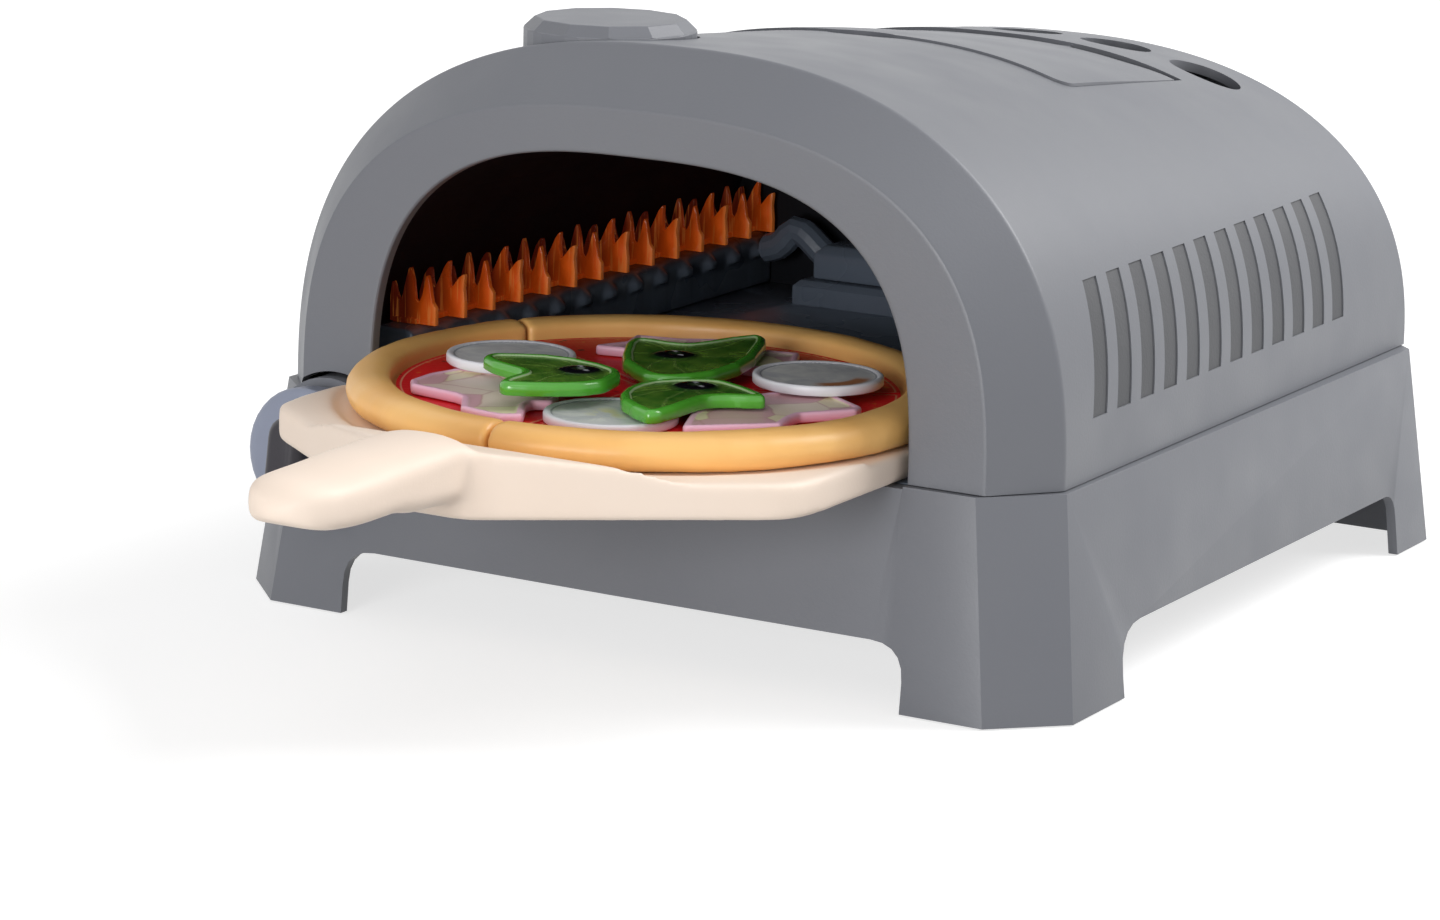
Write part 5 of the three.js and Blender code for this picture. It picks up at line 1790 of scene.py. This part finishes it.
@dataclass
class Peel:
    """The peel: a blade with a sunk round seat, and a raised front lip that runs into a crowned handle.

    Attributes:
        top: Height of the blade's top.
        rim_top: Height of the rim round its front corners.
        half: Half the blade's width.
        neck_half: Half the neck's width.
        neck_y: Place of the neck.
        shoulder: Place of the blade's shoulder.
        corner: Rounding of the shoulders.
        neck_corner: Rounding beside the neck.
        blade_back: Where the outline of the blade's front half ends.
        seat: Middle of the round seat.
        seat_radius: Its radius.
        tall: Heights that clear the whole peel.
        over_seat: Heights that clear the seat.
        lip_profile: The lip's run down into the rim, as (x, z) on the right.
        lip_plan: The lip seen from above, as (x, y) on the right.
        lip_span: Ends of that profile along Y.
        handle_tip: The solid handle's end.
        handle_mid: Height of the handle's middle.
        nose_start: Where the handle's rounded end starts.
        nose_tip: Where it ends.
        nose_plan: How round it is in plan.
        nose_side: How round it is from the side.
        nose_least: Least share of its width, and of its height above and below the middle.
        droop: How far the handle is lowered.
        droop_span: Distances before the hood's front between which it falls.
        first_voxel: Size of the first even mesh.
        voxel: Size of the second one.
    """

    top: float = 73.8
    rim_top: float = 75.6
    half: float = 89.5
    neck_half: float = 15.0
    neck_y: float = -111.0
    shoulder: Pair = (88.0, -57.0)
    corner: float = 17.0
    neck_corner: float = 6.0
    blade_back: float = -12.0
    seat: Pair = (0.0, 10.5)
    seat_radius: float = 93.6
    tall: Pair = (60.0, 95.0)
    over_seat: Pair = (60.0, 90.0)
    lip_profile: tuple[Pair, ...] = (
        (42.0, 71.8), (84.0, 71.8), (84.0, 75.0), (70.0, 75.6), (62.0, 76.6), (57.0, 78.2),
        (51.5, 79.8), (42.0, 79.9),
    )
    lip_plan: tuple[Pair, ...] = (
        (42.0, -84.5), (50.0, -83.0), (62.0, -75.0), (84.0, -60.0), (84.0, -108.0), (42.0, -108.0),
    )
    lip_span: Pair = (-110.0, -50.0)
    handle_tip: float = -193.5
    handle_mid: float = 77.5
    nose_start: float = -158.0
    nose_tip: float = -182.5
    nose_plan: Pair = (2.8, 2.4)
    nose_side: Pair = (7.0, 2.6)
    nose_least: tuple[float, float, float] = (0.05, 0.38, 0.75)
    droop: float = 2.0
    droop_span: Pair = (112.0, 165.0)
    first_voxel: float = 1.2
    voxel: float = 1.0

    def outline(self, inset: float) -> Outline:
        """The front half of the blade's outline.

        Args:
            inset: How far it is drawn in.

        Returns:
            The outline's points.
        """
        x, y = self.shoulder
        half, corner = self.half - inset, self.corner
        return rounded([
            (self.neck_half, self.neck_y + inset, self.neck_corner), (x - inset, y + inset / 2, corner),
            (half, y + corner, corner), (half, self.blade_back, 0.0), (-half, self.blade_back, 0.0),
            (-half, y + corner, corner), (-x + inset, y + inset / 2, corner),
            (-self.neck_half, self.neck_y + inset, self.neck_corner),
        ])

    def seat_rod(self, grow: float) -> bpy.types.Object:
        """The space over the round seat."""
        return rod("seat", Axis.Z, self.seat, self.seat_radius + grow, *self.over_seat, 128)

    def add_rim(self, peel: bpy.types.Object) -> None:
        """Raises the blade's front corners round the seat, and lets the lip run down into them.

        Args:
            peel: The peel.
        """
        rim = prism("rim", self.outline(0.05), Axis.Z, self.top - 2, self.rim_top)
        combine(rim, self.seat_rod(0.0), Cut.TAKE)
        combine(peel, rim, Cut.JOIN)
        for side in (-1, 1):
            ramp = prism("ramp", [(x * side, z) for x, z in self.lip_profile], Axis.Y, *self.lip_span)
            plan = prism("plan", [(x * side, y) for x, y in self.lip_plan], Axis.Z, *self.tall)
            combine(ramp, plan, Cut.KEEP)
            combine(ramp, prism("blade", self.outline(0.1), Axis.Z, *self.tall), Cut.KEEP)
            combine(ramp, self.seat_rod(0.4), Cut.TAKE)
            combine(peel, ramp, Cut.JOIN)

    def round_nose(self, peel: bpy.types.Object) -> None:
        """Draws the handle's end in to a rounded nose, in plan and from the side.

        Args:
            peel: The peel.
        """
        places = places_of(peel)
        share = np.clip((self.nose_start - places[:, 1]) / (self.nose_start - self.handle_tip), 0, 1)
        drawn = self.nose_start - share * (self.nose_start - self.nose_tip)
        places[:, 1] = np.where(share > 0, drawn, places[:, 1])
        across, upright = (
            np.clip(1 - share**power, 0, 1) ** (1 / root)
            for power, root in (self.nose_plan, self.nose_side)
        )
        least_wide, least_above, least_below = self.nose_least
        places[:, 0] *= least_wide + (1 - least_wide) * across
        rise = places[:, 2] - self.handle_mid
        least = np.where(rise > 0, least_above, least_below)
        places[:, 2] = self.handle_mid + rise * (least + (1 - least) * upright)
        places[:, 2] -= self.droop * smooth_step(-places[:, 1], *self.droop_span)
        set_places(peel, places)

    def build(self, paints: Paints) -> None:
        """Builds and dresses the peel.

        Args:
            paints: The finishes.
        """
        peel = copy_of("peel")
        self.add_rim(peel)
        finish_modifier(peel, "REMESH", mode="VOXEL", voxel_size=self.first_voxel * MM)
        self.round_nose(peel)
        melt(peel, self.voxel, 12)
        handle = peel.vertex_groups.new(name="handle")
        for i, share in enumerate(smooth_step(-places_of(peel)[:, 1], 100.0, 122.0)):
            if share > 0:
                handle.add([i], float(share), "REPLACE")
        finish_modifier(peel, "SMOOTH", factor=0.5, iterations=9, vertex_group="handle")
        peel.vertex_groups.clear()
        paints.dress(peel, "cream")
        hand_in(peel, "peel_tool", "peel")


@dataclass(frozen=True)
class Rim:
    """The rounded rim of a topping, round a print that lies lower.

    Attributes:
        rounding: Radius of its outer edge.
        width: Its width.
        depth: How deep the print lies.
        slope: Width of the slope down to it.
    """

    rounding: float
    width: float
    depth: float = 0.6
    slope: float = 0.7

    def heights(self, top: float) -> Heights:
        """The topping's upper side, as relief wants it.

        Args:
            top: Height of the rim.

        Returns:
            The function that gives the heights.
        """
        def height(inward: np.ndarray, places: np.ndarray) -> np.ndarray:
            """The heights at these distances from the outline.

            Args:
                inward: The distances.
                places: The places, which don't matter here.

            Returns:
                The heights.
            """
            near = np.clip(inward, 0, self.rounding)
            edge = np.sqrt(np.clip(self.rounding**2 - (self.rounding - near) ** 2, 0, None))
            rim = top - self.rounding + edge
            return rim - self.depth * smooth_step(inward, self.width, self.width + self.slope)

        return height


@dataclass
class Pizza:
    """The play pizza: three slices of crust and sauce, with loose toppings on them.

    Attributes:
        place: Its middle.
        radius: Radius that the discs' places are shares of.
        crust_inner: Radius of the well in the crust.
        crust_bend: Height above which the crust is lowered.
        crust_share: Share of its height that it keeps at the front.
        back_rise: How much more it keeps at the back.
        back_span: Places along Y between which that grows.
        spread: How much wider it is than the solid.
        dough_scale: Size of its lumps, in metres.
        dough_strength: Their height.
        sauce_top: Height of the sauce.
        sauce_thickness: Its thickness.
        sauce_wave: Height of its waves.
        sauce_dip: How far it lies below its rim.
        seam_gap: Gap between two slices of sauce.
        first_seam: Angle of the first seam.
        topping_thickness: Thickness of ham and discs.
        leaf_thickness: Thickness of the leaves.
        ham_low: Height of the ham's underside.
        ham_rounding: Rounding of its corners.
        leaf_rounding: Rounding of the leaves' corners.
        disc_radius: Radius of the discs.
        streak_angle: Direction of a disc's toasted streak, in degrees.
        streak_reach: Its distance from the disc's middle.
        ham_rim, disc_rim, leaf_rim: The toppings' rims.
        ham_outlines: Corners of each piece of ham.
        leaf_outlines: Corners of each leaf.
        leaf_low: Height of each leaf's underside.
        olives: Middle of each leaf's olive.
        olive_radius: Their radius.
        olive_rise: How far they stand out of the print.
        vein_bow: How far a vein bows out, as a share of its length.
        painted_gleams: Place from an olive's middle and radius of each painted highlight on it.
        painted_gleam_stretch: How much wider than high they are.
        discs: Place, as shares of the radius, underside and finish of each disc.
    """

    place: Pair = (0.0, 10.5)
    radius: float = 88.5
    crust_inner: float = 75.2
    crust_bend: float = 77.0
    crust_share: float = 0.72
    back_rise: float = 0.13
    back_span: Pair = (-60.0, 90.0)
    spread: float = 1.018
    dough_scale: float = 0.028
    dough_strength: float = 0.9
    sauce_top: float = 80.5
    sauce_thickness: float = 2.0
    sauce_wave: float = 0.09
    sauce_dip: float = 0.12
    seam_gap: float = 0.7
    first_seam: float = 30.0
    topping_thickness: float = 3.0
    leaf_thickness: float = 4.0
    ham_low: float = 80.8
    ham_rounding: float = 2.0
    leaf_rounding: float = 9.0
    disc_radius: float = 19.5
    streak_angle: float = -22.0
    streak_reach: float = 13.4
    ham_rim: Rim = Rim(0.9, 1.7)
    disc_rim: Rim = Rim(0.8, 1.6)
    leaf_rim: Rim = Rim(1.7, 2.4)
    ham_outlines: dict[str, Outline] = field(default_factory=lambda: {
        "left": [
            (-54.0, -36.0), (-54.7, -24.9), (-52.0, -13.5), (-35.6, -12.3), (-16.0, -20.1),
            (-6.0, -30.0), (-4.6, -36.5), (-9.5, -39.5), (-8.5, -44.0), (-1.5, -57.0), (-6.5, -61.5),
            (-14.6, -60.6), (-21.7, -58.3), (-29.0, -46.5), (-33.0, -44.5), (-44.0, -42.5),
            (-50.0, -41.5),
        ],
        "back": [
            (-38.5, 40.0), (-33.0, 52.0), (-36.0, 63.0), (-22.0, 66.0), (-10.0, 74.0), (2.0, 66.0),
            (19.0, 69.0), (24.0, 58.0), (34.0, 44.0), (16.0, 41.0), (-5.0, 36.2), (-20.0, 44.0),
        ],
        "right": [
            (48.8, 26.6), (71.5, 11.2), (72.0, 6.8), (61.4, -7.6), (61.6, -13.5), (63.8, -23.3),
            (43.0, -43.5), (35.6, -25.7), (33.7, -5.8), (39.4, 11.5),
        ],
    })
    leaf_outlines: dict[str, Outline] = field(default_factory=lambda: {
        "left": [
            (-36.5, -24.7), (-36.6, -19.1), (-30.0, -14.8), (-22.4, -11.0), (-12.6, -10.2),
            (-2.0, -12.4), (6.2, -16.4), (9.4, -21.6), (10.4, -27.0), (11.6, -33.5), (8.5, -40.5),
            (2.8, -46.0), (-4.0, -50.5), (-10.0, -53.4), (-13.2, -51.8), (-14.6, -46.9),
            (-14.4, -35.6), (-21.7, -32.9), (-29.6, -29.9),
        ],
        "back": [
            (-23.8, 40.8), (-18.1, 42.9), (-11.0, 42.1), (-6.1, 42.9), (-3.3, 49.6), (-0.7, 59.0),
            (3.8, 68.2), (8.6, 66.2), (12.0, 59.8), (19.6, 40.0), (22.7, 25.3), (22.6, 10.6),
            (19.3, 2.4), (15.6, -2.2), (10.9, -4.6), (5.8, -2.4), (-0.7, 2.5), (-8.2, 9.1),
            (-15.0, 20.0), (-21.6, 32.9),
        ],
        "front": [
            (15.0, -31.0), (12.6, -24.2), (11.8, -17.2), (13.0, -10.6), (16.8, -5.0), (25.2, 1.8),
            (30.8, 2.6), (40.8, -1.9), (49.4, -7.2), (51.6, -10.3), (47.0, -13.4), (42.0, -15.8),
            (37.7, -19.9), (37.5, -27.2), (37.8, -38.1), (37.2, -46.2), (34.6, -48.9), (27.5, -44.5),
            (20.1, -38.5),
        ],
    })
    leaf_low: dict[str, float] = field(
        default_factory=lambda: {"left": 87.4, "back": 84.1, "front": 84.1}
    )
    olives: dict[str, Pair] = field(
        default_factory=lambda: {"left": (-3.0, -24.0), "back": (-0.4, 26.0), "front": (27.4, -9.5)}
    )
    olive_radius: float = 6.6
    olive_rise: float = 0.9
    vein_bow: float = 0.08
    painted_gleam_stretch: float = 1.7
    painted_gleams: tuple[tuple[float, float, float], ...] = ((-1.6, 2.8, 0.9), (2.8, -1.4, 0.8))
    discs: dict[str, tuple[float, float, float, str]] = field(default_factory=lambda: {
        "left": (-0.486, -0.096, 84.1, "disc"),
        "right": (0.52, 0.232, 84.1, "disc_toasted"),
        "front": (0.186, -0.55, 80.8, "disc_yellow"),
    })

    def __post_init__(self) -> None:
        """Makes the uneven field that lumps the dough."""
        self.dough = bpy.data.textures.new("dough", "CLOUDS")
        self.dough.noise_scale = self.dough_scale

    def wedge(self, index: int) -> Outline:
        """The outline of one sauce slice, drawn back from its seams.

        Args:
            index: The slice's number.

        Returns:
            The outline's points.
        """
        x0, y0 = self.place
        middle = math.radians(self.first_seam + 120 * (index + 0.5))
        sixth, steps, back = math.radians(60), 48, self.seam_gap / 2
        reach = self.crust_inner - 0.3
        swing = math.asin(back / reach)
        tip = back / math.sin(sixth)
        points = [(x0 + tip * math.cos(middle), y0 + tip * math.sin(middle))]
        for i in range(steps + 1):
            angle = middle + (sixth - swing) * (2 * i / steps - 1)
            points.append((x0 + reach * math.cos(angle), y0 + reach * math.sin(angle)))
        return points

    def sauce_height(self, inward: np.ndarray, places: np.ndarray) -> np.ndarray:
        """The sauce's slightly uneven top.

        Args:
            inward: Distances to its outline.
            places: The places.

        Returns:
            The heights there.
        """
        waves = np.sin(places[:, 0] * 1.9) * np.cos(places[:, 1] * 2.3 + places[:, 0] * 0.7)
        lumps = self.sauce_wave * waves - self.sauce_dip
        return self.sauce_top + lumps * smooth_step(inward, 0.2, 1.2)

    def build_crust(self, name: str, paints: Paints) -> None:
        """Builds and dresses one slice's crust.

        Args:
            name: The slice's name.
            paints: The finishes.
        """
        crust = copy_of("crust_" + name)
        low = self.sauce_top - self.sauce_thickness - 0.2
        combine(crust, rod("bowl", Axis.Z, self.place, self.crust_inner, low, 95.0, 160), Cut.TAKE)
        finish_modifier(crust, "REMESH", mode="VOXEL", voxel_size=0.9 * MM)
        places = places_of(crust)
        places[:, :2] = self.place + (places[:, :2] - self.place) * self.spread
        shares = self.crust_share + self.back_rise * smooth_step(places[:, 1], *self.back_span)
        rise = places[:, 2] - self.crust_bend
        places[:, 2] = np.where(rise > 0, self.crust_bend + rise * shares, places[:, 2])
        set_places(crust, places)
        finish_modifier(
            crust, "DISPLACE", texture=self.dough, texture_coords="LOCAL", mid_level=0.5,
            strength=self.dough_strength * MM,
        )
        melt(crust, 0.85, 14)
        paints.dress(crust, "crust")
        hand_in(crust, "slice_" + name, "crust_" + name)

    def build_sauce(self, name: str, index: int, paints: Paints) -> None:
        """Builds and dresses one slice's sauce.

        Args:
            name: The slice's name.
            index: Its number.
            paints: The finishes.
        """
        low = self.sauce_top - self.sauce_thickness
        sauce = relief(f"sauce_{name}_dressed", self.wedge(index), low, self.sauce_height, 1.0, 0.3)
        paints.dress(sauce, "sauce")
        hand_in(sauce, "slice_" + name, "sauce_" + name)

    def lay_on(
        self, topping: bpy.types.Object, kind: str, name: str, paints: Paints, finish: str
    ) -> None:
        """Dresses a topping, which rides on a body of its own.

        Args:
            topping: The piece.
            kind: What it is, which names its body and frame node too.
            name: Which one it is.
            paints: The finishes.
            finish: The one that it gets.
        """
        paints.dress(topping, finish)
        hand_in(topping, f"topping_{kind}_{name}", f"{kind}_{name}")

    def build_ham(self, paints: Paints) -> None:
        """Builds and dresses the ham.

        Args:
            paints: The finishes.
        """
        height = self.ham_rim.heights(self.ham_low + self.topping_thickness)
        for name, corners in self.ham_outlines.items():
            outline = rounded([(x, y, self.ham_rounding) for x, y in corners], 6)
            ham = relief(f"ham_{name}_dressed", outline, self.ham_low, height)
            self.lay_on(ham, "ham", name, paints, "ham")

    def build_discs(self, paints: Paints) -> None:
        """Builds and dresses the cheese discs.

        Args:
            paints: The finishes.
        """
        for name, (x, y, low, finish) in self.discs.items():
            place = (self.place[0] + x * self.radius, self.place[1] + y * self.radius)
            disc = relief(
                f"disc_{name}_dressed", ring_outline(*place, self.disc_radius, 96), low,
                self.disc_rim.heights(low + self.topping_thickness),
            )
            around = places_of(disc)[:, :2] - place
            angle = np.degrees(np.arctan2(around[:, 1], around[:, 0]))
            reach = np.linalg.norm(around, axis=1)
            along = smooth_step(np.abs(angle - self.streak_angle), 52, 26)
            across = smooth_step(np.abs(reach - self.streak_reach), 3.2, 1.4)
            keep_values(disc, "streak", along * across)
            self.lay_on(disc, "disc", name, paints, finish)

    def keep_print(self, leaf: bpy.types.Object, corners: Outline, heart: np.ndarray) -> None:
        """Keeps the distances that a leaf's print follows, and where the painted highlights on its olive
        lie.

        Args:
            leaf: The leaf.
            corners: Its corners, which the veins run to.
            heart: The olive's middle, which they start from.
        """
        flat = places_of(leaf)[:, :2]
        veins = np.full(len(flat), 1e9)
        for corner in np.array(corners)[::3]:
            bow = np.array((corner - heart)[::-1]) * (self.vein_bow, -self.vein_bow)
            middle = (heart + corner) / 2 + bow
            veins = np.minimum(veins, distance_to(flat, np.array([heart, middle, corner]), False))
        # Painted highlights: white spots on the olive that stand in for reflections of the light.
        gleam = np.zeros(len(flat))
        for dx, dy, reach in self.painted_gleams:
            spot = np.hypot((flat[:, 0] - heart[0] - dx) / self.painted_gleam_stretch, flat[:, 1] - heart[1] - dy)
            gleam = np.maximum(gleam, smooth_step(spot, reach, reach * 0.45))
        keep_values(leaf, "vein", veins)
        keep_values(leaf, "olive", np.linalg.norm(flat - heart, axis=1))
        keep_values(leaf, "gleam", gleam)

    def build_leaves(self, paints: Paints) -> None:
        """Builds and dresses the leaves with their olives.

        Args:
            paints: The finishes.
        """
        for name, corners in self.leaf_outlines.items():
            low, heart = self.leaf_low[name], np.array(self.olives[name])
            rim = self.leaf_rim.heights(low + self.leaf_thickness)

            def height(inward: np.ndarray, places: np.ndarray) -> np.ndarray:
                """The rimmed leaf with its olive standing a little proud of the print.

                Args:
                    inward: Distances to the outline.
                    places: The places.

                Returns:
                    The heights there.
                """
                reach = np.linalg.norm(places - heart, axis=1)
                olive = np.sqrt(np.clip(1 - (reach / self.olive_radius) ** 2, 0, 1))
                olive = np.clip(olive - smooth_step(reach, 2.6, 1.2), 0, 1)
                rise = self.olive_rise * olive * smooth_step(inward, 2.6, 3.4)
                return rim(inward, places) + rise

            outline = rounded([(x, y, self.leaf_rounding) for x, y in corners], 6)
            leaf = relief(f"leaf_{name}_dressed", outline, low, height, 0.55)
            self.keep_print(leaf, corners, heart)
            self.lay_on(leaf, "leaf", name, paints, "leaf")

    def build(self, paints: Paints) -> None:
        """Builds the whole pizza.

        Args:
            paints: The finishes.
        """
        for index, name in enumerate(("back", "left", "right")):
            self.build_crust(name, paints)
            self.build_sauce(name, index, paints)
        self.build_ham(paints)
        self.build_discs(paints)
        self.build_leaves(paints)


@dataclass(frozen=True)
class Lamp:
    """One soft square light: its place and aim in metres, its size and its power."""

    name: str
    place: tuple[float, float, float]
    aim: tuple[float, float, float]
    size: float
    power: float

    def build(self) -> None:
        """Hangs the light."""
        data = bpy.data.lights.new(self.name, "AREA")
        data.shape, data.size, data.energy = "SQUARE", self.size, self.power
        light = bpy.data.objects.new(self.name, data)
        bpy.context.scene.collection.objects.link(light)
        light.location = Vector(self.place)
        light.rotation_euler = (Vector(self.aim) - light.location).to_track_quat("-Z", "Y").to_euler()


@dataclass
class Studio:
    """Camera, floor and soft lights.

    Attributes:
        camera_place: Where the camera stands, in metres.
        target: What it looks at.
        roll: How far it is tilted, in radians.
        lens: Its focal length.
        shift: How far the picture is shifted.
        sky: Strength of the light from all round.
        floor_radius: Radius of the floor.
        floor_low: How far it lies under the object's feet.
        floor_tone: How much light the floor throws back.
        floor_glow: Its glow near the object, where its shadow lies.
        floor_reach: Distances between which the glow rises to white.
        lamps: The lights.
    """

    camera_place: tuple[float, float, float] = (0.6711, -1.1751, 0.3587)
    target: tuple[float, float, float] = (-0.0327, 0.0281, 0.0448)
    roll: float = 0.025
    lens: float = 113.5
    shift: Pair = (0.0376, -0.0072)
    sky: float = 0.33
    floor_radius: float = 4.0
    floor_low: float = 0.0005
    floor_tone: Colour = (0.5, 0.5, 0.5, 1.0)
    floor_glow: float = 0.7
    floor_reach: Pair = (0.7, 2.2)
    lamps: tuple[Lamp, ...] = (
        Lamp("key", (1.15, 1.15, 1.5), (0.0, 0.05, 0.08), 1.3, 45.0),
        Lamp("front", (0.1, -2.3, 0.42), (0.0, 0.0, 0.08), 0.9, 29.0),
        Lamp("table", (0.25, -0.95, 0.95), (0.0, -0.1, 0.08), 0.5, 1.2),
    )

    def build_camera(self) -> None:
        """Puts the camera at the photograph's viewing angle."""
        place, target = Vector(self.camera_place), Vector(self.target)
        forward = (target - place).normalized()
        right = forward.cross(Vector((0, 0, 1))).normalized()
        up = right.cross(forward)
        c, s = math.cos(self.roll), math.sin(self.roll)
        across, upright = right * c + up * s, up * c - right * s
        data = bpy.data.cameras.new("camera")
        data.lens, data.sensor_width = self.lens, 36.0
        data.shift_x, data.shift_y = self.shift
        data.clip_start, data.clip_end = 0.05, 50.0
        camera = bpy.data.objects.new("camera", data)
        bpy.context.scene.collection.objects.link(camera)
        turn = Matrix((across, upright, -forward)).transposed().to_4x4()
        camera.matrix_world = Matrix.Translation(place) @ turn
        bpy.context.scene.camera = camera

    @staticmethod
    def seen_rays(graph: Graph) -> bpy.types.NodeSocket:
        """One for the rays that show the background: from the camera, off gloss and through glass.

        Args:
            graph: The nodes of the floor or the world.

        Returns:
            One or zero.
        """
        rays = graph.add("LightPath").outputs
        off_gloss = graph.maths("MAXIMUM", rays["Is Glossy Ray"], rays["Is Transmission Ray"])
        return graph.maths("MAXIMUM", rays["Is Camera Ray"], off_gloss)

    def build_floor(self) -> None:
        """Lays a plain floor that the camera sees near white, with the object's shadow on it."""
        bpy.ops.object.select_all(action="DESELECT")
        bpy.ops.mesh.primitive_circle_add(
            vertices=96, radius=self.floor_radius, fill_type="NGON", location=(0, 0, -self.floor_low)
        )
        floor = bpy.context.object
        floor.name = "floor"
        material = bpy.data.materials.new("floor_white")
        material.use_nodes = True
        graph = Graph(material.node_tree)
        plain = graph.add("BsdfDiffuse", {"Color": self.floor_tone})
        reach = graph.add("VectorMath", {0: graph.places()}, operation="LENGTH").outputs["Value"]
        strength = graph.times(
            self.seen_rays(graph), graph.ramp(reach, *self.floor_reach, self.floor_glow, 1.0)
        )
        glow = graph.add("Emission", {"Color": WHITE, "Strength": strength})
        both = graph.add("AddShader", {0: plain.outputs[0], 1: glow.outputs[0]})
        graph.add("OutputMaterial", {"Surface": both.outputs[0]})
        floor.data.materials.append(material)

    def build_world(self) -> None:
        """Lights the object from all round, before a white background."""
        world = bpy.data.worlds.new("studio")
        bpy.context.scene.world = world
        world.use_nodes = True
        graph = Graph(world.node_tree)
        strength = graph.ramp(self.seen_rays(graph), 0.0, 1.0, self.sky, 1.0)
        sky = graph.add("Background", {"Color": WHITE, "Strength": strength})
        graph.add("OutputWorld", {"Surface": sky.outputs[0]})

    def build(self) -> None:
        """Builds the studio."""
        self.build_camera()
        self.build_floor()
        for lamp in self.lamps:
            lamp.build()
        self.build_world()
        bpy.context.scene.view_settings.view_transform = "Standard"


def main() -> None:
    """Builds the oven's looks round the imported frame."""
    logging.basicConfig(level=logging.INFO, format="%(message)s")
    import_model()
    Studio().build()
    paints = Paints()
    for part in (Hood(), Trim(), Burner(), Peel(), Pizza()):
        part.build(paints)
        log.info("%s is built", type(part).__name__)


if __name__ == "__main__":
    main()
